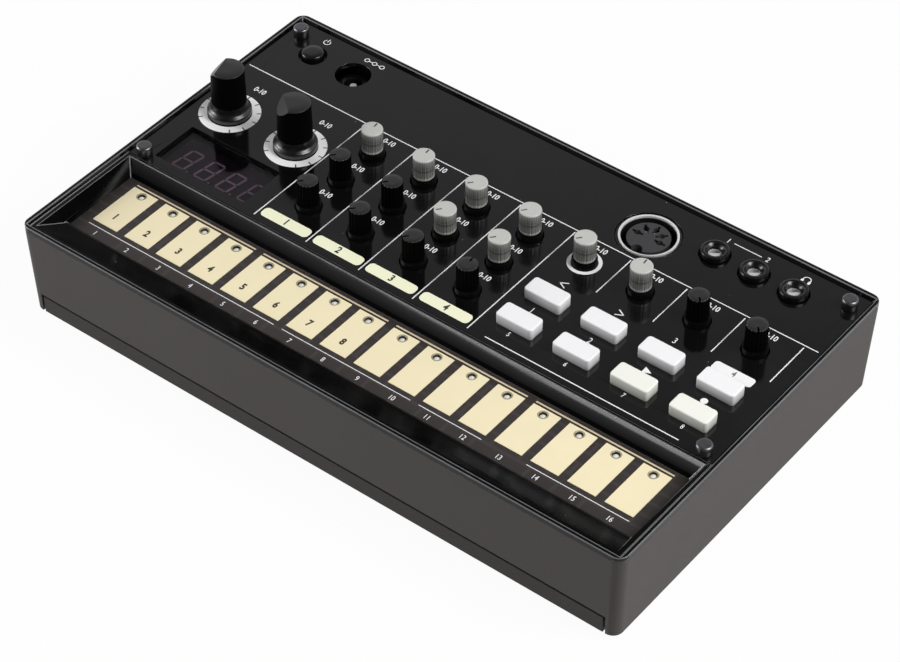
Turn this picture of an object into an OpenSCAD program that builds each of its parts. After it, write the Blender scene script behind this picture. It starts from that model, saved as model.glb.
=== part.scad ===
// Pocket drum machine with sixteen touch keys, a gloss control panel and a drawer-style battery cover.
// Millimetres, +Z up, X along the long side, the touch keys at the front (-Y).
// The origin lies on the floor under the middle of the case.

/* [Case] */
// Width of the case at the rim
case_w = 193; // [192:1:200]
// Depth of the case at the rim, front to back
case_d = 115; // [114:1:118]
// Height of the case from its underside to the top of the rim
case_h = 29; // [29:0.5:36]
// How far each side leans in from the rim to the underside
case_draft = 1.0; // [0:0.1:1.2]
// Radius of the upright corners
corner_r = 3.0; // [2.5:0.5:5]
// Thickness of the side walls
wall = 2.2; // [1.8:0.1:2.4]
// Thickness of the underside
floor_t = 2.0; // [1.6:0.1:2.4]
// Height of the gloss band that shows above the lower shell
band_h = 1.6; // [1.4:0.1:2.0]
// Width of the flat rim round the top
rim_w = 1.2; // [1:0.1:1.6]
// Width of the bevel inside the rim
bevel_w = 0.6; // [0.5:0.1:0.8]
// Width of the flat between the bevel and the key recess
key_rim_w = 1.3; // [1:0.1:1.6]
// Height of the rubber feet
foot_h = 2.2; // [1.5:0.1:4]
// Diameter of the rubber feet
foot_d = 11; // [8:0.5:14]

/* [Panel] */
// Drop from the rim to the panel
panel_drop = 1.0; // [0.8:0.1:1.2]
// Thickness of the panel
panel_t = 1.5; // [1.2:0.1:1.8]
// Width of the bar between the panel and the key recess
bar_w = 1.0; // [0.8:0.1:1.6]
// Thickness of the ledge that carries the panel
ledge_t = 1.5; // [1.2:0.1:2]
// Width of the ledge that carries the panel
ledge_w = 2.4; // [2:0.1:3]
// Diameter of a panel screw's head
screw_head_d = 4.4; // [4:0.1:5]
// Height of a panel screw's head
screw_head_h = 3.1; // [1.5:0.1:3.5]
// Diameter of a panel screw's shank
screw_d = 2.9; // [2.4:0.1:3.1]
// Distance of the panel screws from the case's sides
screw_inset = 5.7; // [5.6:0.1:6]
// Distance of the front panel screws from the key recess
screw_front_inset = 3.2; // [3.1:0.1:3.8]
// Distance of the back panel screws from the case's back
screw_back_inset = 7.1; // [6.1:0.1:8.5]

/* [Keys] */
// Number of touch keys
key_count = 16; // [8:1:16]
// Spacing of the touch keys
key_pitch = 11.1; // [10.5:0.1:11.2]
// Width of a key's gold pad
pad_w = 8.4; // [7:0.1:9]
// Length of a key's gold pad
pad_l = 16.4; // [14:0.1:16.6]
// Thickness of a gold pad
pad_t = 0.15; // [0.1:0.05:0.3]
// Place of the pads' back edge, along Y
pad_back_y = -23.4; // [-24.2:0.1:-23]
// Distance of a lamp hole from its pad's back edge
lamp_inset = 1.9; // [1.7:0.1:4]
// Diameter of the hole that a pad leaves round its lamp
lamp_hole_d = 2.8; // [2.6:0.1:3.2]
// Diameter of a lamp's lens
lamp_d = 1.9; // [1.5:0.1:2]
// Depth of the key recess below the panel
key_depth = 4.6; // [4:0.1:5]
// Radius of the rounded lip at the recess's front
lip_r = 1.2; // [0.8:0.1:1.5]
// Thickness of the circuit boards
board_t = 1.6; // [1.2:0.1:1.8]

/* [Knobs] */
// Spacing of the knob columns
col_pitch = 17.6; // [17:0.1:17.6]
// Place of the first knob column, along X
col_x0 = -42.6; // [-43:0.1:-40]
// Spacing of the knob rows
row_pitch = 13.4; // [12.5:0.1:13.4]
// Place of the back knob row, along Y
row_y0 = 22.4; // [22:0.1:23]
// Diameter of a small knob
knob_d = 6.0; // [5:0.1:6.4]
// Height of a small knob above the panel
knob_h = 8.9; // [6:0.1:11]
// Diameter of a small knob's stem
stem_d = 3.0; // [2.4:0.1:3.6]
// Diameter of the bush that shows round a small knob's foot
bush_d = 6.9; // [6.5:0.1:7.2]
// Height of that bush above the panel
bush_h = 1.7; // [1:0.1:2.5]
// Diameter of a large knob's flange
flange_d = 12.2; // [11:0.1:13]
// Height of the flange's side, with the clearance gap under it
flange_h = 2.0; // [1.4:0.1:2.6]
// Rise of the cone from the flange to the knob's side
flange_cone = 1.0; // [0.4:0.1:2]
// Diameter of a large knob at its foot
big_d = 9.8; // [9.3:0.1:10]
// Diameter of a large knob at its top
big_top_d = 9.2; // [8.4:0.1:9.8]
// Height of a large knob above the panel
big_h = 15.4; // [13:0.1:20]
// Diameter of a large knob's shaft
shaft_d = 6.0; // [5:0.1:6.2]
// Distance of the pointer facet's top edge from the knob's axis
facet_x = 2.2; // [1.2:0.1:2.8]
// Drop of the pointer facet from the knob's top to its side
facet_drop = 2.8; // [2:0.1:5]
// Place of the time knob, along X
time_x = -84.2; // [-84.6:0.1:-83]
// Place of the depth knob, along X
depth_x = -60.8; // [-61:0.1:-60]
// Place of both large knobs, along Y
big_y = 12.0; // [12:0.1:13]

/* [Buttons] */
// Width of a rectangular button
button_w = 11.4; // [8:0.1:12]
// Length of a rectangular button, front to back
button_l = 5.7; // [4:0.1:6.4]
// Height of a rectangular button above the panel
button_h = 3.0; // [2:0.1:5]
// Radius of a rectangular button's corners, seen from above
button_corner = 1.0; // [0.4:0.1:1.4]
// Radius of a rectangular button's top edges
button_edge = 0.5; // [0.2:0.1:0.8]
// Distance that a button travels
button_travel = 0.5; // [0.3:0.1:0.8]
// Place of the first button column, along X
button_x0 = 28.6; // [28.6:0.1:29.2]
// Spacing of the button columns
button_pitch_x = 17.7; // [17:0.1:17.7]
// Place of the back button row, along Y
button_y0 = 5.15; // [4.8:0.05:5.4]
// Spacing of the button rows
button_pitch_y = 11.9; // [11:0.1:12]
// Diameter of the power button
power_d = 6.4; // [5:0.1:7.2]
// Height of the power button above the panel
power_h = 1.4; // [1.2:0.1:2.5]
// Diameter of the power button's hole
power_hole_d = 8.2; // [8:0.1:9]
// Place of the power button, along X
power_x = -82.6; // [-83:0.1:-82]
// Place of the power button, along Y
power_y = 45.5; // [44:0.1:46]

/* [Sockets] */
// Diameter of the bore in a plug socket
jack_bore_d = 3.6; // [3.55:0.05:3.7]
// Diameter of a plug socket's collar
jack_collar_d = 7.8; // [7:0.1:8]
// Height of a plug socket's collar above the panel
jack_collar_h = 1.8; // [1:0.1:3]
// Place of the first plug socket, along X
jack_x0 = 52.5; // [52:0.1:53]
// Spacing of the plug sockets
jack_pitch = 12.15; // [11.5:0.05:12.2]
// Place of the plug sockets, along Y
jack_y = 45.9; // [45:0.1:46.2]
// Place of the round five-pin socket, along X
five_pin_x = 34.9; // [34:0.1:35.2]
// Place of the round five-pin socket, along Y
five_pin_y = 41.2; // [40.6:0.1:41.4]
// Outside diameter of the five-pin socket's metal shell
five_pin_shell_d = 16.2; // [15.6:0.1:16.4]
// Wall of the five-pin socket's metal shell
five_pin_shell_t = 0.6; // [0.4:0.1:0.8]
// Diameter of the five-pin socket's insulator
five_pin_core_d = 11.8; // [11:0.1:12]
// Radius of the circle that the five pins lie on
pin_ring_r = 3.5; // [3.4:0.05:3.6]
// Place of the power socket, along X
dc_x = -68.2; // [-69:0.1:-67]
// Place of the power socket, along Y
dc_y = 45.6; // [44:0.1:46]
// Diameter of the panel hole over the power socket
dc_hole_d = 10.2; // [9.6:0.1:11]
// Diameter of the power socket's bore
dc_bore_d = 5.2; // [5:0.1:5.6]
// Diameter of the power socket's centre pin
dc_pin_d = 1.9; // [1.6:0.05:2.1]

/* [Display] */
// Place of the window's left edge, along X
window_x0 = -88.2; // [-88.4:0.1:-87.4]
// Place of the window's front edge, along Y
window_y0 = -14.0; // [-14:0.1:-13.4]
// Width of the window
window_w = 31.2; // [28:0.1:31.2]
// Depth of the window, front to back
window_l = 15.2; // [14:0.1:15.2]
// Drop from the panel to the window
window_drop = 1.1; // [0.8:0.1:1.3]
// Drop from the panel to the face of the digits
digits_drop = 4.2; // [3.6:0.1:6]

/* [Battery bay] */
// Diameter of a round cell
cell_d = 14.2; // [13.5:0.1:14.4]
// Length of a round cell with its button end
cell_l = 50.3; // [49:0.1:52]
// Distance of the battery cover's ends from the case's sides
cover_inset = 4.2; // [4:0.1:6.4]
// Height of the cover's lip on the front face
cover_lip = 6.0; // [4:0.2:8]
// Gap round the battery cover
cover_gap = 0.7; // [0.3:0.1:0.9]
// Distance that the battery cover slides forward to come off
cover_slide = 12; // [8:1:20]

/* [Clearances] */
// Radial clearance of a turning stem or shaft in its bush
run_fit = 0.05; // [0.03:0.01:0.09]
// Radial clearance round a bush, collar or shaft that passes through the panel
pass_fit = 0.3; // [0.3:0.05:0.4]
// Clearance round a rectangular button in the panel
button_fit = 0.2; // [0.15:0.05:0.3]
// Clearance between parts that drop into each other
drop_fit = 0.1; // [0.05:0.05:0.15]
// Gap under a turning knob
knob_gap = 0.25; // [0.2:0.05:0.3]

/* [Hidden] */

$fn = 48;
blend_fn = 32;                 // facets round a hull's own corners
eps = 0.01;                    // overlap that keeps cuts clean

// Heights above the floor
z_case = foot_h;
z_inside = z_case + floor_t;
z_rim = z_case + case_h;
z_band = z_rim - band_h;
z_panel = z_rim - panel_drop;
z_ledge = z_panel - panel_t;
z_skirt = z_ledge - ledge_t;
z_keys = z_panel - key_depth;
board_drop = 12;               // panel to the control board's top
z_board = z_panel - board_drop;
pillar_drop = 3.2;             // ledge's underside to the pillars under it
pillar_d = 6;
z_pillar = z_skirt - pillar_drop;

// Places on the panel follow the case when its width or depth is changed
fx = case_w / 193;
fy = case_d / 115;
time_at = [fx * time_x, fy * big_y];
depth_at = [fx * depth_x, fy * big_y];
power_at = [fx * power_x, fy * power_y];
dc_at = [fx * dc_x, fy * dc_y];
five_pin_at = [fx * five_pin_x, fy * five_pin_y];
window_at = [fx * window_x0 + window_w / 2, fy * window_y0 + window_l / 2];

// Plan of the panel and of the key recess
panel_w = case_w - 2 * (rim_w + bevel_w);
panel_back_y = case_d / 2 - rim_w - bevel_w;
mouth_front_y = -panel_back_y + key_rim_w;
mouth_w = panel_w - 2 * key_rim_w;
recess_back_y = -18.4 * fy;    // back edge of the recess at the panel's height
panel_front_y = recess_back_y + bar_w;
side_slope = 2.6;              // lean of the recess's side walls
back_slope = 2.8;              // lean of its back wall
lip_y = -46.6 * fy;            // axis of the rounded lip
key_frame_w = 2.5;             // how far the key board reaches under the recess's edges
panel_fit = 0.1;
skirt_fit = 0.15;
foot_in = wall + skirt_fit + 0.8 - rim_w - bevel_w;  // the panel's foot stands this far in from its edge

// Switches, pots and other pieces on the control board
pot_w = 9.6;
pot_l = 10.8;
pot_h = 6.5;
big_pot_w = 11;
big_pot_l = 12.4;
switch_w = 6;
switch_h = 3.5;
post_d = 3.4;                  // post under each button
button_flange = 0.9;           // how far a button's flange reaches past its sides
flange_t = 0.8;
stem_floor = 1.3;              // solid left under a stem's or shaft's bore
board_x = case_w / 2 - 10.5;
board_front_y = recess_back_y + 4.4;
board_back_y = case_d / 2 - 4.5;
post_inset = 2.5;
board_post_x = (window_at[0] + window_w / 2 + fx * col_x0 - pot_w / 2) / 2;  // between window and knobs
board_posts = [[-board_x + post_inset, 30 * fy], [board_x - post_inset, 34 * fy],
               [board_post_x, board_front_y + 3.5], [72.5 * fx, board_front_y + 3]];
board_post_d = 5.6;
screw_post_d = 6.4;
board_screw_d = 2.2;

// Plug sockets
jack_w = 8.6;
jack_mouth_d = 5.2;
jack_mouth_h = 0.8;
five_pin_block_w = 20;
five_pin_block_l = 18;
five_pin_collar_d = 17.6;
five_pin_floor = 3;
dc_face_drop = 3.2;
dc_snout_d = 8.4;
dc_body_w = 9.4;
dc_body_l = 12;

// Battery bay
roof_t = 1.5;
cell_clear = 0.4;              // gap between the cells and the bay
cover_w = case_w - 2 * cover_inset;
cover_tab_x = 60 * fx;
cover_tab_w = 8;
cover_tab_l = 3.6;
cover_tab_t = floor_t / 2;     // a tab slides under the bay's back wall
front_y = case_d / 2 - case_draft;              // front face at the underside
row_gap = 1.0;
row_y = [-front_y + wall + cell_clear + cell_d / 2,
         -front_y + wall + cell_clear + 1.5 * cell_d + row_gap];
bay_back_y = row_y[1] + cell_d / 2 + cell_clear;
z_cell = z_inside + cell_clear + cell_d / 2;
z_roof = z_cell + cell_d / 2 + cell_clear;
z_tab = z_inside - drop_fit - cover_tab_t;
contact_t = 0.5;
contact_w = cell_d - 3.2;
cell_gap = 0.1;                // gap between the cells of a row
row_l = 3 * cell_l + 2 * cell_gap;
spring_l = 7.9;
bay_end_x = (row_l + spring_l) / 2 + contact_t;
lead_x = -(bay_end_x + roof_t + case_w / 2 - wall - case_draft) / 2;  // between bay and side wall

// Speaker
speaker_x = -30 * fx;
speaker_y = 28 * fy;
speaker_d = 40;
speaker_h = 10.4;
magnet_d = 20.8;
basket_t = 1.2;                // sheet of the speaker's frame
cone_t = 0.4;

foot_x = case_w / 2 - 16.5;
foot_y = case_d / 2 - 11.5;
screw_x = case_w / 2 - screw_inset;

// Rest turn of each small knob, in degrees clockwise from twelve o'clock
turn_min = -140;
turn_max = 140;
turn_mid = -6;

function col_x(i) = fx * (col_x0 + i * col_pitch);
function row_yy(j) = fy * (row_y0 - j * row_pitch);
function button_x(i) = fx * (button_x0 + i * button_pitch_x);
function button_yy(j) = fy * (button_y0 - j * button_pitch_y);
function key_x(i) = fx * (i - (key_count - 1) / 2) * key_pitch;
function lead_z(k) = z_cell + 3 * (1 - k);
function jack_at(i) = [fx * (jack_x0 + i * jack_pitch), fy * jack_y];
lamp_y = fy * pad_back_y - lamp_inset;
small_pot_places = concat([for (i = [0:3]) for (j = [0:2]) [col_x(i), row_yy(j)]],
                          [for (i = [4:7]) [col_x(i), row_yy(0)]]);
button_places = [for (i = [0:3]) for (j = [0:1]) [button_x(i), button_yy(j)]];
screw_places = [for (x = [-screw_x, screw_x])
                for (y = [recess_back_y + screw_front_inset, case_d / 2 - screw_back_inset]) [x, y]];

// ---- shared shapes ----

module rounded_plate(w, l, r, h) {
    linear_extrude(height = h) rounded_outline(w, l, r);
}

module rounded_outline(w, l, r) {
    union() {
        square([w - 2 * r, l], center = true);
        square([w, l - 2 * r], center = true);
        for (x = [-1, 1], y = [-1, 1])
            translate([x * (w / 2 - r), y * (l / 2 - r)]) circle(r = r);
    }
}

module block(w, l, h) {
    translate([-w / 2, -l / 2, 0]) cube([w, l, h]);
}

// A box given by its two corners
module span(a, b) {
    translate(a) cube(b - a);
}

// The lower shell's outside or, with an inset, its inside
module leaning_block(inset, z0, z1) {
    lean0 = case_draft * (z_band - z0) / (z_band - z_case);
    lean1 = case_draft * (z_band - z1) / (z_band - z_case);
    r = max(corner_r - inset, 0.8);
    hull() {
        for (e = [[z0, lean0], [z1 - eps, lean1]], x = [-1, 1], y = [-1, 1])
            translate([x * (case_w / 2 - inset - e[1] - r), y * (case_d / 2 - inset - e[1] - r), e[0]])
                cylinder(r = r, h = eps, $fn = blend_fn);
    }
}

// ---- case ----

module cover_space(gap) {
    w = cover_w / 2 - gap;
    span([-w, -case_d, z_case - 1], [w, bay_back_y - gap, z_inside]);
    span([-w, -case_d, z_case - 1], [w, -front_y + wall + case_draft, z_case + cover_lip - gap]);
}

module bottom_case() {
    color("#55514c")
    difference() {
        union() {
            difference() {
                leaning_block(0, z_case, z_band);
                leaning_block(wall, z_inside, z_band + 1);
            }
            battery_bay();
            for (p = screw_places)
                translate([p[0], p[1], z_inside - eps])
                    cylinder(d = screw_post_d, h = z_pillar - z_inside + eps);
            for (p = board_posts)
                translate([p[0], p[1], z_inside - eps])
                    cylinder(d = board_post_d, h = z_board - board_t - z_inside + eps);
        }
        cover_space(0);
        for (p = screw_places)
            translate([p[0], p[1], z_inside + 4]) cylinder(d = screw_d + 2 * run_fit, h = z_rim);
        for (p = board_posts)
            translate([p[0], p[1], z_inside + 4]) cylinder(d = board_screw_d + 2 * run_fit, h = z_rim);
        for (i = [-3:3])
            translate([speaker_x, speaker_y + i * 0.11 * speaker_d, z_case - 1])
                block(0.75 * speaker_d - abs(i) * 3, 1.8, floor_t + 2);
        for (x = [-cover_tab_x, cover_tab_x])
            span([x - cover_tab_w / 2 - drop_fit, bay_back_y - 1, z_tab - drop_fit],
                 [x + cover_tab_w / 2 + drop_fit, bay_back_y + cover_tab_l + cover_gap,
                  z_inside + drop_fit]);
    }
}

// Roof, back wall and end walls round the cells, with posts that carry the key board
module battery_bay() {
    side = case_w / 2 - wall / 2 - case_draft;
    span([-side, -case_d / 2 + wall / 2 + case_draft, z_roof],
         [side, bay_back_y + roof_t, z_roof + roof_t]);
    difference() {
        span([-side, bay_back_y, z_inside - eps], [side, bay_back_y + roof_t, z_roof + eps]);
        for (k = [0, 1])
            translate([lead_x, bay_back_y - 1, lead_z(k)])
                rotate([-90, 0, 0]) cylinder(d = 2.4, h = roof_t + 2);
    }
    for (s = [-1, 1])
        translate([s * (bay_end_x + roof_t / 2), (bay_back_y - front_y + wall) / 2, z_inside + 0.4])
            block(roof_t, bay_back_y + front_y - wall + 0.6, z_roof - z_inside - 0.4 + eps);
    for (x = [-70, -24, 24, 70] * fx, y = [lip_y + 6, lamp_y - 4.2])
        translate([x, y, z_roof + roof_t - eps])
            cylinder(d = 4, h = z_keys - board_t - z_roof - roof_t + eps);
}

module battery_cover() {
    color("#55514c") {
        difference() {
            intersection() {
                leaning_block(0, z_case, z_band);
                cover_space(cover_gap);
            }
            leaning_block(wall, z_inside, z_band + 1);
        }
        for (x = [-cover_tab_x, cover_tab_x])
            span([x - cover_tab_w / 2, bay_back_y - cover_gap - eps, z_tab],
                 [x + cover_tab_w / 2, bay_back_y + cover_tab_l, z_tab + cover_tab_t]);
    }
}

module feet(y) {
    color("#1b1b1b")
    for (x = [-foot_x, foot_x])
        translate([x, y, 0])
            rotate_extrude()
                polygon([[0, 0], [foot_d / 2 - 0.6, 0], [foot_d / 2, 0.6], [foot_d / 2, foot_h],
                         [0, foot_h]]);
}

// The recess that the keys lie in: sloped walls with a rounded lip along the front
module recess_cut() {
    mid = z_keys + lip_r;
    share = lip_r / key_depth;
    w1 = mouth_w / 2;
    w0 = w1 - side_slope;
    wm = w0 + side_slope * share;
    yb0 = recess_back_y - back_slope;
    ybm = yb0 + back_slope * share;
    hull() {
        span([-w1, mouth_front_y, z_panel], [w1, recess_back_y, z_panel + eps]);
        span([-wm, lip_y, mid - eps], [wm, ybm, mid]);
    }
    difference() {
        hull() {
            span([-wm, lip_y, mid - eps], [wm, ybm, mid]);
            span([-w0, lip_y, z_keys - eps], [w0, yb0, z_keys]);
        }
        translate([-case_w, lip_y, z_keys]) rotate([0, 90, 0]) cylinder(r = lip_r, h = 2 * case_w);
    }
    span([-w0, lip_y + lip_r, z_keys - 9], [w0, yb0, z_keys]);
}

module top_case() {
    skirt = wall + skirt_fit;
    color("#101011")
    difference() {
        union() {
            translate([0, 0, z_band]) rounded_plate(case_w, case_d, corner_r, band_h);
            translate([0, 0, z_skirt])
                rounded_plate(case_w - 2 * skirt, case_d - 2 * skirt, corner_r - 1, z_band - z_skirt + eps);
            span([-case_w / 2 + skirt + 0.15, lip_y - key_frame_w - 1, z_keys],
                 [case_w / 2 - skirt - 0.15, panel_front_y + ledge_w, z_skirt + eps]);
            for (p = screw_places)
                translate([p[0], p[1], z_pillar]) cylinder(d = pillar_d, h = z_ledge - z_pillar);
        }
        // bevelled mouth inside the rim
        hull() {
            translate([0, 0, z_rim]) block(case_w - 2 * rim_w, case_d - 2 * rim_w, 1);
            translate([0, 0, z_panel]) block(panel_w, 2 * panel_back_y, eps);
        }
        // seat of the panel, and the space inside its ledge
        span([-panel_w / 2, panel_front_y, z_band], [panel_w / 2, panel_back_y, z_rim]);
        span([-panel_w / 2 + foot_in, panel_front_y, z_ledge],
             [panel_w / 2 - foot_in, panel_back_y - foot_in, z_rim]);
        difference() {
            span([-panel_w / 2 + ledge_w, panel_front_y + ledge_w, z_keys - 9],
                 [panel_w / 2 - ledge_w, panel_back_y - ledge_w, z_ledge + eps]);
            for (p = screw_places)
                translate([p[0], p[1], z_pillar]) cylinder(d = pillar_d, h = z_ledge - z_pillar);
        }
        recess_cut();
        for (p = screw_places)
            translate([p[0], p[1], z_pillar - 1]) cylinder(d = screw_d + 2 * run_fit, h = z_rim);
    }
}

// ---- panel ----

module control_panel() {
    color("#161617")
    difference() {
        union() {
            span([-panel_w / 2 + panel_fit, panel_front_y + panel_fit, z_band + panel_fit],
                 [panel_w / 2 - panel_fit, panel_back_y - panel_fit, z_panel]);
            span([-panel_w / 2 + foot_in + panel_fit, panel_front_y + panel_fit, z_ledge],
                 [panel_w / 2 - foot_in - panel_fit, panel_back_y - foot_in - panel_fit, z_panel]);
        }
        for (p = screw_places) hole(p, screw_d + 2 * run_fit);
        for (p = small_pot_places) hole(p, bush_d + 2 * pass_fit);
        for (p = [time_at, depth_at]) hole(p, shaft_d + 2 * pass_fit);
        for (p = button_places)
            translate([p[0], p[1], z_ledge - 1])
                rounded_plate(button_w + 2 * button_fit, button_l + 2 * button_fit, button_corner,
                              panel_t + 2);
        hole(power_at, power_hole_d);
        hole(dc_at, dc_hole_d);
        hole(five_pin_at, five_pin_collar_d + 2 * pass_fit);
        for (i = [0:2]) hole(jack_at(i), jack_collar_d + 3 * pass_fit);
        at(window_at, z_ledge - 1) block(window_w, window_l, panel_t + 2);
    }
}

// Moves a piece to a place on the panel, at a height
module at(p, z) {
    translate([p[0], p[1], z]) children();
}

module hole(p, d) {
    translate([p[0], p[1], z_ledge - 1]) cylinder(d = d, h = panel_t + 2);
}

module panel_screws() {
    color("#3c3d40")
    for (p = screw_places)
        translate([p[0], p[1], 0])
            difference() {
                union() {
                    translate([0, 0, z_panel]) cylinder(d = screw_head_d, h = screw_head_h - 0.45);
                    translate([0, 0, z_panel + screw_head_h - 0.45])
                        cylinder(d1 = screw_head_d, d2 = screw_head_d - 0.9, h = 0.45);
                    translate([0, 0, z_inside + 5]) cylinder(d = screw_d, h = z_panel - z_inside - 5 + eps);
                }
                translate([0, 0, z_panel + screw_head_h - 1.2]) {
                    block(2.7, 0.75, 2);
                    block(0.75, 2.7, 2);
                }
            }
}

module display_window() {
    color("#141215")
    at(window_at, 0) {
        difference() {
            translate([0, 0, z_ledge - 0.8]) block(window_w + 2, window_l + 1.6, 0.8);
            for (p = screw_places)
                at(p - window_at, z_ledge - 2) cylinder(d = pillar_d + 2 * drop_fit, h = 3);
        }
        translate([0, 0, z_ledge - eps])
            block(window_w - 2 * drop_fit, window_l - 2 * drop_fit, panel_t - window_drop + eps);
    }
}

module digit_display() {
    color("#2a262b")
    at(window_at, z_board) block(window_w - 1, window_l - 1, board_drop - digits_drop);
}

// ---- keys ----

module key_board() {
    w = mouth_w / 2 - side_slope + key_frame_w - 1;
    color("#2f2a27")
    difference() {
        span([-w, lip_y - key_frame_w, z_keys - board_t],
             [w, recess_back_y - back_slope + key_frame_w, z_keys]);
        for (i = [0:key_count - 1])
            translate([key_x(i), lamp_y, z_keys - board_t - 1])
                cylinder(d = lamp_d + 2 * drop_fit, h = board_t + 2);
    }
}

module touch_pads() {
    color("#ead7a4")
    for (i = [0:key_count - 1])
        difference() {
            translate([key_x(i), fy * pad_back_y - pad_l / 2, z_keys]) block(pad_w, pad_l, pad_t);
            translate([key_x(i), lamp_y, z_keys - 1]) cylinder(d = lamp_hole_d, h = 3);
        }
}

module step_lamps() {
    color("#f2efe6")
    for (i = [0:key_count - 1])
        translate([key_x(i), lamp_y, z_keys - board_t]) {
            translate([0, 0, -1]) block(lamp_d + 1.3, lamp_d + 0.7, 1);
            translate([0, 0, -eps]) cylinder(d = lamp_d, h = board_t - 0.1);
        }
}

// ---- inside ----

module control_board() {
    color("#1f4d2e")
    difference() {
        span([-board_x, board_front_y, z_board - board_t], [board_x, board_back_y, z_board]);
        for (p = board_posts)
            translate([p[0], p[1], z_board - board_t - 1])
                cylinder(d = board_screw_d + 2 * drop_fit, h = board_t + 2);
        for (i = [0:2])
            at(jack_at(i), z_board - board_t - 1) cylinder(d = jack_bore_d + 1, h = board_t + 2);
    }
}

module board_screws() {
    color("#8d8f92")
    for (p = board_posts)
        translate([p[0], p[1], 0]) {
            translate([0, 0, z_board]) cylinder(d = 4.2, h = 1.4);
            translate([0, 0, z_inside + 5]) cylinder(d = board_screw_d, h = z_board - z_inside - 5 + eps);
        }
}

module small_pots() {
    color("#3a3b3d")
    for (p = small_pot_places)
        translate([p[0], p[1], z_board])
            difference() {
                union() {
                    block(pot_w, pot_l, pot_h);
                    translate([0, 0, pot_h - eps])
                        cylinder(d = bush_d, h = board_drop + bush_h - pot_h + eps);
                }
                translate([0, 0, stem_floor]) cylinder(d = stem_d + 2 * run_fit, h = board_drop + bush_h);
            }
}

module large_pots() {
    color("#77797c")
    for (p = [time_at, depth_at])
        at(p, z_board)
            difference() {
                union() {
                    block(big_pot_w, big_pot_l, pot_h);
                    translate([0, 0, pot_h - eps])
                        cylinder(d = shaft_d + 3, h = board_drop - panel_t - pot_h - drop_fit);
                }
                translate([0, 0, stem_floor]) cylinder(d = shaft_d + 2 * run_fit, h = board_drop);
            }
}

module button_switches() {
    color("#26282a")
    for (p = concat(button_places, [power_at]))
        translate([p[0], p[1], z_board])
            difference() {
                block(switch_w, switch_w, switch_h);
                translate([0, 0, 1]) cylinder(d = post_d + 2 * run_fit, h = switch_h);
            }
}

module speaker_frame() {
    r = speaker_d / 2;
    m = magnet_d / 2;
    h = speaker_h;
    t = basket_t;
    color("#6c6e70")
    translate([speaker_x, speaker_y, z_inside])
        rotate_extrude()
            polygon([[r - 2, 0], [r, 0], [r, t + cone_t], [r - 2 * t, t + cone_t], [m, h - 3 * t], [m, h],
                     [0, h], [0, h - t], [m - 2 * t, h - t], [m - 2 * t, h - 3 * t - 0.2], [r - 4, t],
                     [r - 2, t]]);
}

module speaker_cone() {
    r = speaker_d / 2;
    coil = magnet_d / 4;
    t = basket_t;
    c = cone_t;
    color("#2b2b2b")
    translate([speaker_x, speaker_y, z_inside])
        rotate_extrude()
            polygon([[0, 4 * t], [coil - 0.2, 4 * t], [r - 4 * t, t - c], [r - 2 * t, t - c], [r - 2 * t, t],
                     [r - 4 * t + 0.1, t], [coil, 4 * t + 1.5 * c], [coil, speaker_h - 2],
                     [coil - c, speaker_h - 2], [coil - c, 4 * t + c], [0, 4 * t + c]]);
}

// A round lead along straight runs
module lead(path, d) {
    last = len(path) - 2;
    for (i = [0:last]) {
        run = path[i + 1] - path[i];
        lap = 0.45 * d;         // each run laps past the corner that it meets
        start = i == 0 ? 0 : lap;
        end = i == last ? 0 : lap;
        translate(path[i])
            rotate([0, acos(run[2] / norm(run)), atan2(run[1], run[0])])
                translate([0, 0, -start]) cylinder(d = d, h = norm(run) + start + end);
    }
}

module wiring() {
    under = z_board - board_t;
    x = lead_x;
    y = board_front_y + 4;
    cable_y = recess_back_y - back_slope - 1.8;
    step_y = bay_back_y + roof_t + 1.8;
    past_x = -screw_x + screw_post_d / 2 + 1.7;
    color("#a33b32") {
        lead([[speaker_x + speaker_d / 2 - 0.9, speaker_y, z_inside + 1.6],
              [speaker_x + speaker_d / 2 - 0.9, speaker_y, z_inside + 6],
              [speaker_x + speaker_d / 2 + 3, speaker_y + 3, z_inside + 8],
              [speaker_x + speaker_d / 2 + 3, speaker_y + 3, under]], 1.2);
        // the battery leads step inward, past the pillar of the screw
        for (k = [0, 1])
            lead([[-bay_end_x - roof_t, row_y[k], lead_z(k)], [x, row_y[k], lead_z(k)],
                  [x, step_y, lead_z(k)], [past_x, step_y, lead_z(k)],
                  [past_x, y + 3 - 3 * k, lead_z(k)], [-board_x + 3, y + 3 - 3 * k, lead_z(k)],
                  [-board_x + 3, y + 3 - 3 * k, under]], 1.4);
    }
    // flat cable from the control board up to the key board
    color("#d9d6cc")
    translate([30 * fx, 0, 0])
        rotate([90, 0, 90])
            linear_extrude(height = 14)
                polygon([[board_front_y + 5, under], [board_front_y + 5, under - 0.4],
                         [board_front_y - 1.4, under - 0.4], [board_front_y - 1.4, z_keys - board_t - 0.4],
                         [cable_y, z_keys - board_t - 0.4], [cable_y, z_keys - board_t],
                         [board_front_y - 1, z_keys - board_t], [board_front_y - 1, under]]);
}

// ---- battery bay ----

// The two rows lie opposite ways; each row's button end meets its plate
module row_of_cells(s) {
    for (i = [0:2])
        translate([s * (bay_end_x - contact_t - i * (cell_l + cell_gap)), 0, 0])
            rotate([0, -s * 90, 0])
                rotate_extrude()
                    polygon([[0, 0], [2.6, 0], [2.6, 1], [cell_d / 2 - 0.6, 1], [cell_d / 2, 1.6],
                             [cell_d / 2, cell_l - 0.6], [cell_d / 2 - 0.6, cell_l], [0, cell_l]]);
}

module battery_cells() {
    color("#3f6a8a")
    for (k = [0, 1])
        translate([0, row_y[k], z_cell]) row_of_cells(k == 0 ? 1 : -1);
}

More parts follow.
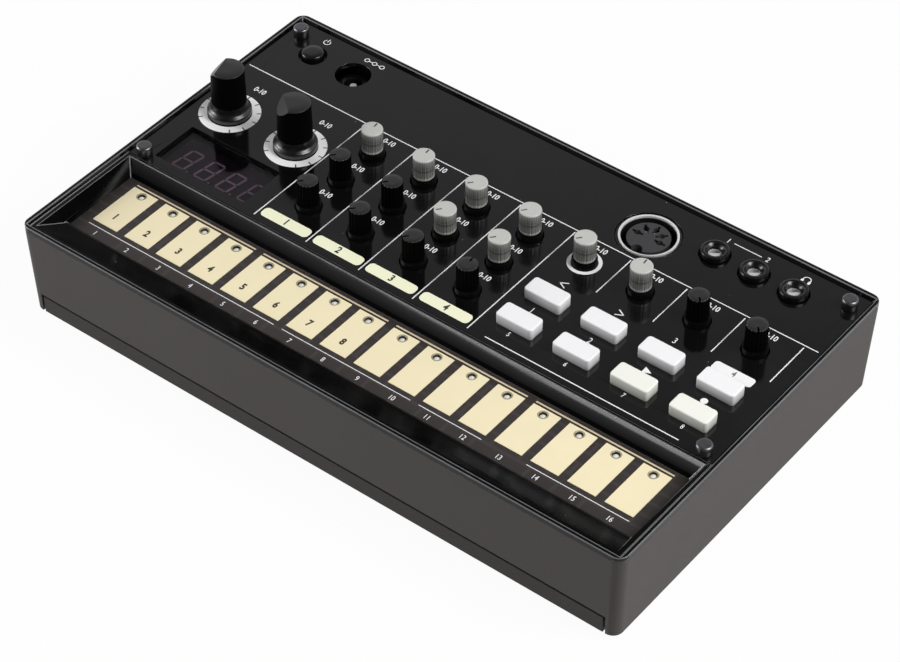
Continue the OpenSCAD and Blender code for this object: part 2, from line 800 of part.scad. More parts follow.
module battery_contacts() {
    color("#c9c7be")
    for (k = [0, 1], s = [-1, 1])
        translate([s * bay_end_x, row_y[k], z_cell]) {
            rotate([0, -s * 90, 0]) {
                translate([0, 0, contact_t / 2]) cube([contact_w, contact_w, contact_t], center = true);
                if (s == (k == 0 ? -1 : 1))
                    translate([0, 0, contact_t])
                        rotate_extrude()
                            polygon([[3.6, 0], [4.8, 0], [3.4, spring_l], [2.2, spring_l]]);
            }
        }
}

// ---- sockets ----

module plug_jack(i) {
    color("#131314")
    at(jack_at(i), z_board)
        difference() {
            union() {
                block(jack_w, jack_w, board_drop - panel_t - drop_fit);
                cylinder(d = jack_collar_d, h = board_drop + jack_collar_h - 0.2);
                translate([0, 0, board_drop + jack_collar_h - 0.2])
                    cylinder(d1 = jack_collar_d, d2 = jack_collar_d - 0.4, h = 0.2);
            }
            translate([0, 0, -1]) cylinder(d = jack_bore_d, h = board_drop + jack_collar_h + 2);
            translate([0, 0, board_drop + jack_collar_h - jack_mouth_h])
                cylinder(d1 = jack_bore_d, d2 = jack_mouth_d, h = jack_mouth_h + eps);
        }
}

module five_pin_housing() {
    color("#18181a")
    at(five_pin_at, z_board)
        difference() {
            union() {
                block(five_pin_block_w, five_pin_block_l, board_drop - panel_t - drop_fit);
                cylinder(d = five_pin_collar_d, h = board_drop - 0.2);
            }
            translate([0, 0, five_pin_floor]) cylinder(d = five_pin_shell_d + 2 * drop_fit, h = board_drop);
        }
}

module five_pin_shell() {
    color("#e4e4e2")
    at(five_pin_at, z_board + five_pin_floor)
        difference() {
            cylinder(d = five_pin_shell_d, h = board_drop - five_pin_floor + 0.3);
            translate([0, 0, 0.6])
                cylinder(d = five_pin_shell_d - 2 * five_pin_shell_t, h = board_drop);
        }
}

module five_pin_core() {
    top = board_drop - five_pin_floor - 0.6 - 0.6;
    color("#2c2b2e")
    at(five_pin_at, z_board + five_pin_floor + 0.6)
        difference() {
            cylinder(d = five_pin_core_d, h = top);
            for (a = [0:45:180])
                rotate([0, 0, a])
                    translate([pin_ring_r, 0, top - 4]) {
                        cylinder(d = 1.8, h = 5);
                        block(3.4, 0.8, 5);
                    }
            translate([0, -five_pin_core_d / 2 + 0.4, top - 5]) cylinder(d = 3.2, h = 6);
        }
}

module socket_contacts() {
    core_top = z_panel - 0.6;
    color("#d8d4c8") {
        for (a = [0:45:180])
            at(five_pin_at + pin_ring_r * [cos(a), sin(a)], core_top - 4)
                cylinder(d = 1.2, h = 2.6, $fn = 24);
        at(dc_at, z_board + stem_floor)
            cylinder(d = dc_pin_d, h = board_drop - dc_face_drop - stem_floor - 0.6);
        for (i = [0:2])
            at(jack_at(i) - [0, jack_w / 2 + 0.3], z_board) block(2.4, 0.6, 6);
    }
}

module power_jack() {
    face = board_drop - dc_face_drop;
    color("#19191a")
    at(dc_at, z_board)
        difference() {
            union() {
                block(dc_body_w, dc_body_l, face - 1.8);
                cylinder(d = dc_snout_d, h = face);
            }
            translate([0, 0, stem_floor]) cylinder(d = dc_bore_d, h = face);
        }
}

// ---- knobs ----

// A small knob with its stem; turn is clockwise from twelve o'clock
module small_knob(i, j, turn, tint) {
    head_h = knob_h - bush_h - knob_gap;
    stem_l = board_drop + bush_h + knob_gap - stem_floor - 0.2;
    color(tint)
    translate([col_x(i), row_yy(j), z_panel + bush_h + knob_gap])
        rotate([0, 0, -turn])
            difference() {
                union() {
                    cylinder(d = knob_d, h = head_h - 0.3);
                    translate([0, 0, head_h - 0.3]) cylinder(d1 = knob_d, d2 = knob_d - 0.6, h = 0.3);
                    translate([0, 0, -stem_l]) cylinder(d = stem_d, h = stem_l + eps);
                }
                translate([0, knob_d / 2, head_h - 0.5]) block(0.5, 3.4, 1);
            }
}

// A large knob with a sloped pointer facet, on a flatted shaft
module large_knob(place, turn) {
    z0 = 0.35;
    bore_l = big_h - 3.5;
    color("#0d0d0e")
    at(place, z_panel)
        rotate([0, 0, -turn])
            difference() {
                union() {
                    translate([0, 0, z0]) cylinder(d = flange_d, h = flange_h - z0);
                    translate([0, 0, flange_h - eps])
                        cylinder(d1 = flange_d, d2 = big_d, h = flange_cone + eps);
                    translate([0, 0, flange_h + flange_cone - eps])
                        cylinder(d1 = big_d, d2 = big_top_d, h = big_h - flange_h - flange_cone - 0.3 + eps);
                    translate([0, 0, big_h - 0.3])
                        cylinder(d1 = big_top_d, d2 = big_top_d - 0.6, h = 0.3);
                }
                facet_cut();
                difference() {
                    translate([0, 0, -1]) cylinder(d = shaft_d + 2 * run_fit, h = bore_l + 1);
                    translate([0, shaft_d / 2 - 1.4 + run_fit + shaft_d / 2, 3])
                        block(shaft_d * 2, shaft_d, bore_l);
                }
            }
}

// Wedge taken off the knob's pointer side
module facet_cut() {
    reach = big_top_d / 2 - facet_x;
    slope = facet_drop / reach;
    rotate([90, 0, 90])
        translate([0, 0, -flange_d])
            linear_extrude(height = 2 * flange_d)
                polygon([[facet_x, big_h], [facet_x, big_h + 2], [flange_d, big_h + 2],
                         [flange_d, big_h - slope * (flange_d - facet_x)]]);
}

module pot_shaft(place, turn) {
    top = big_h - 3.5 - 0.2;
    color("#c8c9cb")
    at(place, z_panel)
        rotate([0, 0, -turn])
            difference() {
                translate([0, 0, -board_drop + stem_floor + 0.2])
                    cylinder(d = shaft_d, h = top + board_drop - stem_floor - 0.2);
                translate([0, shaft_d - 1.4, 3 - run_fit]) block(shaft_d * 2, shaft_d, top);
            }
}

// ---- buttons ----

// The post that works a button's switch, up to the flange that holds the button under the panel
module button_post() {
    low = -board_drop + 1 + button_travel + 0.1;
    translate([0, 0, low]) cylinder(d = post_d, h = -panel_t - drop_fit - flange_t - low + eps);
}

// Outline of a button seen from the side, with rounded top edges
module button_profile(w) {
    r = button_edge;
    base = -panel_t - drop_fit - eps;
    translate([-w / 2, base]) square([w, button_h - r - base]);
    translate([-w / 2 + r, base]) square([w - 2 * r, button_h - base]);
    for (x = [-1, 1]) translate([x * (w / 2 - r), button_h - r]) circle(r = r);
}

module key_button(i, j, tint) {
    color(tint)
    translate([button_x(i), button_yy(j), z_panel]) {
        intersection() {
            translate([0, 0, -5]) rounded_plate(button_w, button_l, button_corner, 20);
            translate([0, button_l, 0])
                rotate([90, 0, 0]) linear_extrude(height = 2 * button_l) button_profile(button_w);
            translate([-button_w, 0, 0])
                rotate([90, 0, 90]) linear_extrude(height = 2 * button_w) button_profile(button_l);
        }
        translate([0, 0, -panel_t - drop_fit - flange_t])
            block(button_w + 2 * button_flange, button_l + 2 * button_flange, flange_t);
        button_post();
    }
}

module power_button() {
    color("#0e0e0f")
    at(power_at, z_panel) {
        translate([0, 0, -panel_t - drop_fit - eps]) cylinder(d = power_d, h = panel_t + power_h - 0.2);
        translate([0, 0, power_h - 0.3 - eps]) cylinder(d1 = power_d, d2 = power_d - 0.6, h = 0.3);
        translate([0, 0, -panel_t - drop_fit - flange_t]) cylinder(d = power_hole_d, h = flange_t);
        button_post();
    }
}

frost = "#c9c9c2";
jet = "#1c1c1d";
milk = "#f4f3f3";
cream = "#f3f3e4";

bottom_case();
top_case();
control_panel();
panel_screws();
key_board();
touch_pads();
step_lamps();
display_window();
digit_display();
control_board();
board_screws();
small_pots();
large_pots();
button_switches();
five_pin_housing();
five_pin_shell();
five_pin_core();
socket_contacts();
plug_jack(0);  // sync_in_jack
plug_jack(1);  // sync_out_jack
plug_jack(2);  // phones_jack
power_jack();
speaker_frame();
speaker_cone();
wiring();
battery_contacts();
battery_cells();
feet(foot_y);  // rear_feet
battery_cover();
feet(-foot_y);  // front_feet
pot_shaft(time_at, -105);  // time_shaft
large_knob(time_at, -105);  // time_knob
pot_shaft(depth_at, turn_min);  // depth_shaft
large_knob(depth_at, turn_min);  // depth_knob
small_knob(0, 0, turn_mid, frost);  // kick_click_knob
small_knob(0, 1, turn_min, jet);  // kick_pitch_knob
small_knob(0, 2, turn_min, jet);  // kick_decay_knob
small_knob(1, 0, turn_mid, frost);  // snare_snap_knob
small_knob(1, 1, turn_min, jet);  // snare_pitch_knob
small_knob(1, 2, turn_min, jet);  // snare_decay_knob
small_knob(2, 0, turn_min, frost);  // tom_low_knob
small_knob(2, 1, turn_min, frost);  // tom_high_knob
small_knob(2, 2, turn_min, jet);  // tom_decay_knob
small_knob(3, 0, turn_min, frost);  // hat_closed_knob
small_knob(3, 1, turn_min, frost);  // hat_open_knob
small_knob(3, 2, turn_mid, jet);  // hat_grain_knob
small_knob(4, 0, turn_min, frost);  // speed_knob
small_knob(5, 0, turn_mid, frost);  // tempo_knob
small_knob(6, 0, turn_max, jet);  // level_knob
small_knob(7, 0, turn_max, jet);  // volume_knob
key_button(0, 0, milk);  // back_button
key_button(1, 0, milk);  // forward_button
key_button(2, 0, milk);  // mute_button
key_button(3, 0, milk);  // shift_button
key_button(0, 1, milk);  // memory_button
key_button(1, 1, milk);  // step_button
key_button(2, 1, cream);  // play_button
key_button(3, 1, cream);  // record_button
power_button();
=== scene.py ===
# Looks of a pocket drum machine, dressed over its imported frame. Lengths in the helpers are millimetres.
import bpy
import math
from mathutils import Matrix, Vector


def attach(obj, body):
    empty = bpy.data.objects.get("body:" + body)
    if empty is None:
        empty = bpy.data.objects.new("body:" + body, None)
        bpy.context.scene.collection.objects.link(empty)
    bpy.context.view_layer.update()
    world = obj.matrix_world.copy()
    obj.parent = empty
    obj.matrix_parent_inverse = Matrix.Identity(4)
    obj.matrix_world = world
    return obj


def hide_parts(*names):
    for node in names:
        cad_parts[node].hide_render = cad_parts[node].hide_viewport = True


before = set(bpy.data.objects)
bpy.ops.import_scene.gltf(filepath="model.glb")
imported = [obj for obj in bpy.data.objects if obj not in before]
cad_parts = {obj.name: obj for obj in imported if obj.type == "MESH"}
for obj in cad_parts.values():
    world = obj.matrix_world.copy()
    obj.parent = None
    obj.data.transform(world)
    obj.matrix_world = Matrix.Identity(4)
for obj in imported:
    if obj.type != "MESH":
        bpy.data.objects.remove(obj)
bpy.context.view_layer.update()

MM = 0.001

# Heights above the floor
RIM = 31.2
PANEL = 30.2
KEY_BOARD = 25.6
CONTROL_BOARD = 18.2
KNOB_FOOT = PANEL + 1.95
KNOB_HEAD = 6.95                # top of a small knob above its foot
RIBS = 30                       # light and dark stripes seen in a translucent knob
DISPLAY_FACE = PANEL - 4.2

# Heights of what hangs under the panel, from its top
UNDER = -1.6
FLANGE_FOOT = -2.4
POST_FOOT = -10.4

# Printing
INK = 0.03                      # thickness of the ink
LINE_W = 0.3
SIGN_W = 0.25
FIGURE_SQUEEZE = 0.78           # width of a figure beside the type's own
LABEL_Y = -13.2
DIAL_R = 8.6
SYNC_SIGN_Y = 52.4
PAD_HALF = 4.2

# Grids of the control panel
COLUMNS = [-42.6 + 17.6 * i for i in range(8)]
ROWS = [22.4, 9.0, -4.4]
BUTTON_X = [28.6 + 17.7 * i for i in range(4)]
BUTTON_Y = [5.15, -6.75]
SCREWS = [(x, y) for x in (-90.8, 90.8) for y in (-15.2, 50.4)]
JACKS = [(52.5, 45.9), (64.65, 45.9), (76.8, 45.9)]
FIVE_PIN = (34.9, 41.2)
BIG_KNOBS = [(-84.2, 12.0), (-60.8, 12.0)]
PAD_PITCH = 11.1
PADS = [(i - 7.5) * PAD_PITCH for i in range(16)]
PAD_BACK = -23.4
LAMP_Y = PAD_BACK - 1.9
BUTTON_SIZE = (11.4, 5.7, 3.0)
POWER_BUTTON = (-82.6, 45.5)

# Photograph
PHOTO_WIDTH = 900
FOCAL_PIXELS = 3015.45

# Name of each small knob: column, row, turn clockwise from twelve o'clock, and whether it is translucent
SMALL_KNOBS = {
    "kick_click_knob": (0, 0, -6, True),
    "kick_pitch_knob": (0, 1, -140, False),
    "kick_decay_knob": (0, 2, -140, False),
    "snare_snap_knob": (1, 0, -6, True),
    "snare_pitch_knob": (1, 1, -140, False),
    "snare_decay_knob": (1, 2, -140, False),
    "tom_low_knob": (2, 0, -140, True),
    "tom_high_knob": (2, 1, -140, True),
    "tom_decay_knob": (2, 2, -140, False),
    "hat_closed_knob": (3, 0, -140, True),
    "hat_open_knob": (3, 1, -140, True),
    "hat_grain_knob": (3, 2, -6, False),
    "speed_knob": (4, 0, -140, True),
    "tempo_knob": (5, 0, -6, True),
    "level_knob": (6, 0, 140, False),
    "volume_knob": (7, 0, 140, False),
}
BUTTONS = {
    "back_button": (0, 0),
    "forward_button": (1, 0),
    "mute_button": (2, 0),
    "shift_button": (3, 0),
    "memory_button": (0, 1),
    "step_button": (1, 1),
    "play_button": (2, 1),
    "record_button": (3, 1),
}


# ---- shader helpers ----

def math_node(tree, operation, a, b=0):
    """The result of a sum; a and b are numbers or sockets."""
    node = tree.nodes.new("ShaderNodeMath")
    node.operation = operation
    for k, value in enumerate((a, b)):
        if isinstance(value, (int, float)):
            node.inputs[k].default_value = value
        else:
            tree.links.new(value, node.inputs[k])
    return node.outputs[0]


def object_place(tree):
    """Place on the object, in metres of its own frame."""
    return tree.nodes.new("ShaderNodeTexCoord").outputs["Object"]


def map_range(tree, value, start, end, low=0.0, high=1.0):
    """Maps start..end to low..high, and holds the ends."""
    node = tree.nodes.new("ShaderNodeMapRange")
    for label, number in (("From Min", start), ("From Max", end), ("To Min", low), ("To Max", high)):
        node.inputs[label].default_value = number
    tree.links.new(value, node.inputs["Value"])
    return node.outputs[0]


def tone_ramp(tree, value, stops):
    """A colour that runs through the stops, each a position and three numbers."""
    node = tree.nodes.new("ShaderNodeValToRGB")
    ramp = node.color_ramp.elements
    for k, (position, colour) in enumerate(stops):
        stop = ramp[k] if k < 2 else ramp.new(position)
        stop.position, stop.color = position, (*colour, 1)
    tree.links.new(value, node.inputs[0])
    return node.outputs["Color"]


def split_place(tree, place):
    """The X, Y and Z sockets of a place."""
    node = tree.nodes.new("ShaderNodeSeparateXYZ")
    tree.links.new(place, node.inputs[0])
    return node.outputs


# ---- camera, floor and light ----

def photo_camera():
    """The camera that the photograph's edges and grids solve to."""
    az, el, roll = math.radians(37.563), math.radians(43.434), math.radians(0.369)
    back = Vector((math.sin(az) * math.cos(el), -math.cos(az) * math.cos(el), math.sin(el)))
    side = Vector((math.cos(az), math.sin(az), 0))
    up = back.cross(side)
    right = side * math.cos(roll) + up * math.sin(roll)
    top = up * math.cos(roll) - side * math.sin(roll)
    data = bpy.data.cameras.new("photo_camera")
    data.sensor_fit = "HORIZONTAL"
    data.sensor_width = 36
    data.lens = FOCAL_PIXELS / PHOTO_WIDTH * data.sensor_width
    data.clip_start = 0.01
    data.clip_end = 50
    camera = bpy.data.objects.new("photo_camera", data)
    bpy.context.scene.collection.objects.link(camera)
    place = Vector((16.887, -20.237, RIM)) * MM + back * 0.759
    rows = [(right[k], top[k], back[k], place[k]) for k in range(3)]
    camera.matrix_world = Matrix(rows + [(0, 0, 0, 1)])
    bpy.context.scene.camera = camera


def soft_lamp(name, place, aim, size, power):
    """A square softbox that looks at a point; power in watts, the rest in metres."""
    data = bpy.data.lights.new(name, "AREA")
    data.shape = "SQUARE"
    data.size = size
    data.energy = power
    lamp = bpy.data.objects.new(name, data)
    bpy.context.scene.collection.objects.link(lamp)
    lamp.location = place
    lamp.rotation_euler = (Vector(aim) - Vector(place)).to_track_quat("-Z", "Y").to_euler()
    return lamp


def studio():
    """Plain grey for soft light; gloss sees a dark wall below a lit ceiling, dim on the near side."""
    world = bpy.data.worlds.new("studio")
    bpy.context.scene.world = world
    world.use_nodes = True
    tree = world.node_tree
    tree.nodes.clear()
    out = tree.nodes.new("ShaderNodeOutputWorld")
    light = tree.nodes.new("ShaderNodeBackground")
    light.inputs["Color"].default_value = (0.97, 0.985, 1.0, 1)
    light.inputs["Strength"].default_value = 0.27
    where = tree.nodes.new("ShaderNodeTexCoord").outputs["Generated"]
    stops = [(0.0, (0.4, 0.4, 0.4)), (0.04, (0.015, 0.015, 0.015))]
    stops += [(height, (tone, tone, tone * 1.03)) for height, tone in
              ((0.20, 0.015), (0.30, 0.55), (0.50, 0.55), (0.58, 0.26), (0.65, 0.21), (0.70, 0.125),
               (0.80, 0.075))]
    sweep = tone_ramp(tree, split_place(tree, where)["Z"], stops)
    towards = tree.nodes.new("ShaderNodeVectorMath")
    towards.operation = "DOT_PRODUCT"
    towards.inputs[1].default_value = (0.61, -0.79, 0)
    tree.links.new(where, towards.inputs[0])
    near_side = map_range(tree, towards.outputs["Value"], 0.1, 0.55, 2.0, 0.3)
    mirror = tree.nodes.new("ShaderNodeBackground")
    tree.links.new(sweep, mirror.inputs["Color"])
    tree.links.new(near_side, mirror.inputs["Strength"])
    paper = tree.nodes.new("ShaderNodeBackground")
    paper.inputs["Color"].default_value = (1, 1, 1, 1)
    path = tree.nodes.new("ShaderNodeLightPath")
    either = math_node(tree, "MAXIMUM", path.outputs["Is Glossy Ray"], path.outputs["Is Transmission Ray"])
    first = tree.nodes.new("ShaderNodeMixShader")
    second = tree.nodes.new("ShaderNodeMixShader")
    tree.links.new(either, first.inputs[0])
    tree.links.new(light.outputs[0], first.inputs[1])
    tree.links.new(mirror.outputs[0], first.inputs[2])
    tree.links.new(path.outputs["Is Camera Ray"], second.inputs[0])
    tree.links.new(first.outputs[0], second.inputs[1])
    tree.links.new(paper.outputs[0], second.inputs[2])
    tree.links.new(second.outputs[0], out.inputs["Surface"])


def paper_floor():
    """A white sheet with a trace of the object's shadow; it throws little light back at the object."""
    bpy.ops.mesh.primitive_plane_add(size=8, location=(0, 0, 0))
    floor = bpy.context.object
    floor.name = "floor"
    sheet = bpy.data.materials.new("floor_paper")
    sheet.use_nodes = True
    tree = sheet.node_tree
    tree.nodes.clear()
    out = tree.nodes.new("ShaderNodeOutputMaterial")
    matt = tree.nodes.new("ShaderNodeBsdfDiffuse")
    matt.inputs["Color"].default_value = (0.3, 0.3, 0.3, 1)
    glow = tree.nodes.new("ShaderNodeEmission")
    glow.inputs["Color"].default_value = (1, 1, 1, 1)
    glow.inputs["Strength"].default_value = 1.0
    lit = tree.nodes.new("ShaderNodeBsdfDiffuse")
    lit.inputs["Color"].default_value = (0.8, 0.8, 0.8, 1)
    blend = tree.nodes.new("ShaderNodeMixShader")
    blend.inputs[0].default_value = 0.95
    path = tree.nodes.new("ShaderNodeLightPath")
    seen = math_node(tree, "MAXIMUM", path.outputs["Is Camera Ray"], path.outputs["Is Glossy Ray"])
    seen = math_node(tree, "MAXIMUM", seen, path.outputs["Is Transmission Ray"])
    final = tree.nodes.new("ShaderNodeMixShader")
    tree.links.new(lit.outputs[0], blend.inputs[1])
    tree.links.new(glow.outputs[0], blend.inputs[2])
    tree.links.new(seen, final.inputs[0])
    tree.links.new(matt.outputs[0], final.inputs[1])
    tree.links.new(blend.outputs[0], final.inputs[2])
    tree.links.new(final.outputs[0], out.inputs["Surface"])
    floor.data.materials.append(sheet)


photo_camera()
studio()
paper_floor()
soft_lamp("left_softbox", (-0.68, -0.35, 0.23), (-0.03, 0, 0.02), 0.38, 4.1)
soft_lamp("right_softbox", (0.62, 0.11, 0.66), (0, 0, 0.02), 0.42, 7.2)
bpy.context.scene.view_settings.view_transform = "Standard"


# ---- effects that several materials share ----

def effect(name, inputs, outputs):
    """An empty shader node group with named inputs (name, value) and outputs."""
    group = bpy.data.node_groups.new(name, "ShaderNodeTree")
    for label, value in inputs:
        socket = group.interface.new_socket(label, in_out="INPUT", socket_type="NodeSocketFloat")
        socket.default_value = value
    for label in outputs:
        group.interface.new_socket(label, in_out="OUTPUT", socket_type="NodeSocketFloat")
    return group, group.nodes.new("NodeGroupInput"), group.nodes.new("NodeGroupOutput")


def make_moulded_grain():
    """Fine spark-eroded grain of moulded plastic: a height, and a slow drift in tone."""
    inputs = [("Grain per metre", 3500), ("Drift per metre", 60)]
    group, given, result = effect("moulded grain", inputs, ["Height", "Drift"])
    place = object_place(group)
    fine = group.nodes.new("ShaderNodeTexNoise")
    fine.inputs["Detail"].default_value = 2
    group.links.new(place, fine.inputs["Vector"])
    group.links.new(given.outputs["Grain per metre"], fine.inputs["Scale"])
    pits = group.nodes.new("ShaderNodeTexVoronoi")
    group.links.new(place, pits.inputs["Vector"])
    group.links.new(given.outputs["Grain per metre"], pits.inputs["Scale"])
    slow = group.nodes.new("ShaderNodeTexNoise")
    slow.inputs["Detail"].default_value = 3
    group.links.new(place, slow.inputs["Vector"])
    group.links.new(given.outputs["Drift per metre"], slow.inputs["Scale"])
    both = math_node(group, "ADD", fine.outputs["Fac"], pits.outputs["Distance"])
    group.links.new(both, result.inputs["Height"])
    group.links.new(slow.outputs["Fac"], result.inputs["Drift"])
    return group


def make_dust():
    """Sparse specks of dust: 1 on a speck, 0 elsewhere."""
    inputs = [("Specks per metre", 420), ("Share", 0.03), ("Size", 0.08)]
    group, given, result = effect("dust specks", inputs, ["Speck"])
    cells = group.nodes.new("ShaderNodeTexVoronoi")
    group.links.new(object_place(group), cells.inputs["Vector"])
    group.links.new(given.outputs["Specks per metre"], cells.inputs["Scale"])
    chance = group.nodes.new("ShaderNodeSeparateColor")
    group.links.new(cells.outputs["Color"], chance.inputs[0])
    near = math_node(group, "LESS_THAN", cells.outputs["Distance"], given.outputs["Size"])
    rare = math_node(group, "LESS_THAN", chance.outputs[0], given.outputs["Share"])
    group.links.new(math_node(group, "MULTIPLY", near, rare), result.inputs["Speck"])
    return group


def make_smudges():
    """Where fingers have dulled a gloss surface."""
    group, given, result = effect("handling marks", [("Smudges per metre", 45)], ["Smudge"])
    cloud = group.nodes.new("ShaderNodeTexNoise")
    cloud.inputs["Detail"].default_value = 4
    cloud.inputs["Distortion"].default_value = 0.6
    group.links.new(object_place(group), cloud.inputs["Vector"])
    group.links.new(given.outputs["Smudges per metre"], cloud.inputs["Scale"])
    group.links.new(map_range(group, cloud.outputs["Fac"], 0.45, 0.7), result.inputs["Smudge"])
    return group


PAD_TONE = (0.96, 0.85, 0.57)
GRAIN = make_moulded_grain()
DUST = make_dust()
MARKS = make_smudges()


class Finish:
    """A material in the making: one Principled shader and what feeds it."""

    def __init__(self, name, colour, rough, metallic=0.0, **sockets):
        self.material = bpy.data.materials.new(name)
        self.material.use_nodes = True
        self.tree = self.material.node_tree
        self.shader = self.tree.nodes["Principled BSDF"]
        self.shader.inputs["Base Color"].default_value = (*colour, 1)
        self.shader.inputs["Roughness"].default_value = rough
        self.shader.inputs["Metallic"].default_value = metallic
        for label, value in sockets.items():
            self.shader.inputs[label.replace("_", " ")].default_value = value
        self.material.diffuse_color = (*colour, 1)

    def group(self, group, **values):
        node = self.tree.nodes.new("ShaderNodeGroup")
        node.node_tree = group
        for label, value in values.items():
            node.inputs[label.replace("_", " ")].default_value = value
        return node

    def noise(self, scale, detail=2, stretch=None):
        node = self.tree.nodes.new("ShaderNodeTexNoise")
        node.inputs["Scale"].default_value = scale
        node.inputs["Detail"].default_value = detail
        place = object_place(self.tree)
        if stretch:
            squeeze = self.tree.nodes.new("ShaderNodeMapping")
            squeeze.inputs["Scale"].default_value = stretch
            self.tree.links.new(place, squeeze.inputs["Vector"])
            place = squeeze.outputs[0]
        self.tree.links.new(place, node.inputs["Vector"])
        return node.outputs["Fac"]

    def rough_between(self, value, low, high, start=0.0, end=1.0):
        rough = map_range(self.tree, value, start, end, low, high)
        self.tree.links.new(rough, self.shader.inputs["Roughness"])

    def mix(self, mask, one, other):
        """A colour between one and other; each is three numbers or a socket."""
        node = self.tree.nodes.new("ShaderNodeMix")
        node.data_type = "RGBA"
        self.tree.links.new(mask, node.inputs["Factor"])
        for label, value in ((6, one), (7, other)):
            if isinstance(value, tuple):
                node.inputs[label].default_value = (*value, 1)
            else:
                self.tree.links.new(value, node.inputs[label])
        return node.outputs[2]

    def colour(self, socket):
        self.tree.links.new(socket, self.shader.inputs["Base Color"])

    def bump(self, height, depth_mm, strength=1.0):
        node = self.tree.nodes.new("ShaderNodeBump")
        node.inputs["Strength"].default_value = strength
        node.inputs["Distance"].default_value = depth_mm * MM
        self.tree.links.new(height, node.inputs["Height"])
        self.tree.links.new(node.outputs[0], self.shader.inputs["Normal"])


def shade(colour, k):
    """The colour, k times as light."""
    return tuple(c * k for c in colour)


def moulded(name, colour, rough, grain=3500, depth=0.02, spread=0.12, **sockets):
    """Matt or satin moulded plastic with a fine grain."""
    f = Finish(name, colour, rough, **sockets)
    g = f.group(GRAIN, Grain_per_metre=grain)
    f.colour(f.mix(g.outputs["Drift"], shade(colour, 1 - spread), shade(colour, 1 + spread)))
    f.rough_between(g.outputs["Height"], rough - 0.05, rough + 0.06, 0.3, 1.4)
    f.bump(g.outputs["Height"], depth)
    return f.material


def polished(name, colour, rough, dust=0.05, **sockets):
    """Gloss plastic with handling marks and a little dust."""
    f = Finish(name, colour, rough, **sockets)
    marks = f.group(MARKS)
    specks = f.group(DUST, Share=dust)
    toned = f.mix(marks.outputs["Smudge"], colour, shade(colour, 1.35))
    f.colour(f.mix(specks.outputs["Speck"], toned, (0.16, 0.155, 0.15)))
    f.rough_between(marks.outputs["Smudge"], rough, rough + 0.07)
    f.bump(f.noise(260, 2), 0.012, 0.6)
    return f.material


def metal(name, colour, rough, stretch=None):
    """Plated or turned metal with fine tool lines."""
    f = Finish(name, colour, rough, 1.0)
    lines = f.noise(500, 3, stretch)
    f.colour(f.mix(lines, shade(colour, 0.86), shade(colour, 1.04)))
    f.rough_between(lines, rough - 0.06, rough + 0.08, 0.25, 0.75)
    f.bump(lines, 0.008, 0.5)
    return f.material


def make_pad_gold():
    """Thin gold plating over a copper pad: satin, a little uneven."""
    f = Finish("pad_gold", PAD_TONE, 0.4, 0.12)
    f.colour(f.mix(f.noise(120, 4), shade(PAD_TONE, 0.96), shade(PAD_TONE, 1.03)))
    f.rough_between(f.noise(1500, 2), 0.34, 0.48)
    f.bump(f.noise(900, 3), 0.006, 0.5)
    return f.material


def make_frosted():
    """Translucent milky plastic of the small knobs, its tones painted by height: a lit top with a painted
    highlight at its rim and bands of painted light and shade down the side, darker where the stem and the
    ribs show through.
    """
    f = Finish("frosted_knob", (0.4, 0.4, 0.38), 0.3, IOR=1.46, Transmission_Weight=0.18)
    place = split_place(f.tree, object_place(f.tree))
    rise = math_node(f.tree, "MULTIPLY", place["Z"], 1 / (KNOB_HEAD * MM))
    # Tones by height: painted light and shade down the side, a painted highlight at the top's rim, and a lit
    # top.
    stops = [(0.0, (0.08, 0.08, 0.075)), (0.05, (0.50, 0.50, 0.47))]
    stops += [(at, (tone, tone, tone * 0.95)) for at, tone in
              ((0.10, 0.60), (0.14, 0.25), (0.38, 0.24), (0.44, 0.13), (0.50, 0.12), (0.53, 0.32),
               (0.58, 0.20), (0.66, 0.27), (0.90, 0.36), (0.955, 0.72), (1.0, 0.62))]
    painted_light_and_stem_tones = tone_ramp(f.tree, rise, stops)
    angle = math_node(f.tree, "ARCTAN2", place["Y"], place["X"])
    ribs = math_node(f.tree, "COSINE", math_node(f.tree, "MULTIPLY", angle, RIBS))
    side = math_node(f.tree, "LESS_THAN", rise, 0.93)
    stripe = math_node(f.tree, "MULTIPLY", math_node(f.tree, "LESS_THAN", ribs, -0.1), side)
    lines = f.mix(stripe, (1.0, 1.0, 1.0), (0.62, 0.62, 0.61))
    shaded = f.tree.nodes.new("ShaderNodeMix")
    shaded.data_type = "RGBA"
    shaded.blend_type = "MULTIPLY"
    shaded.inputs["Factor"].default_value = 1
    f.tree.links.new(painted_light_and_stem_tones, shaded.inputs[6])
    f.tree.links.new(lines, shaded.inputs[7])
    f.colour(shaded.outputs[2])
    g = f.group(GRAIN, Grain_per_metre=2600)
    f.rough_between(g.outputs["Height"], 0.26, 0.38, 0.3, 1.4)
    f.bump(g.outputs["Height"], 0.01, 0.5)
    return f.material


def make_button(name, colour):
    """Button plastic, darker towards the foot where the cap lies in its opening's shade."""
    f = Finish(name, colour, 0.32)
    rise = map_range(f.tree, split_place(f.tree, object_place(f.tree))["Z"], 0.0, 2.6 * MM)
    f.colour(f.mix(rise, shade(colour, 0.5), colour))
    g = f.group(GRAIN, Grain_per_metre=1500)
    f.rough_between(g.outputs["Height"], 0.27, 0.38, 0.3, 1.4)
    f.bump(g.outputs["Height"], 0.004)
    return f.material


def make_clear_lens():
    """Milky lens of the key lamps."""
    f = Finish("lamp_lens", (0.93, 0.92, 0.88), 0.16, IOR=1.46, Transmission_Weight=0.05)
    f.colour(f.mix(f.noise(700, 2), (0.86, 0.85, 0.80), (0.97, 0.96, 0.93)))
    f.bump(f.noise(400, 2), 0.01, 0.5)
    return f.material


def make_smoke():
    """Smoked window in front of the digits."""
    f = Finish("smoked_window", (0.50, 0.43, 0.48), 0.04, IOR=1.3, Transmission_Weight=1.0)
    f.colour(f.mix(f.noise(80, 2), (0.47, 0.40, 0.45), (0.53, 0.46, 0.51)))
    f.rough_between(f.noise(600, 2), 0.03, 0.07)
    return f.material


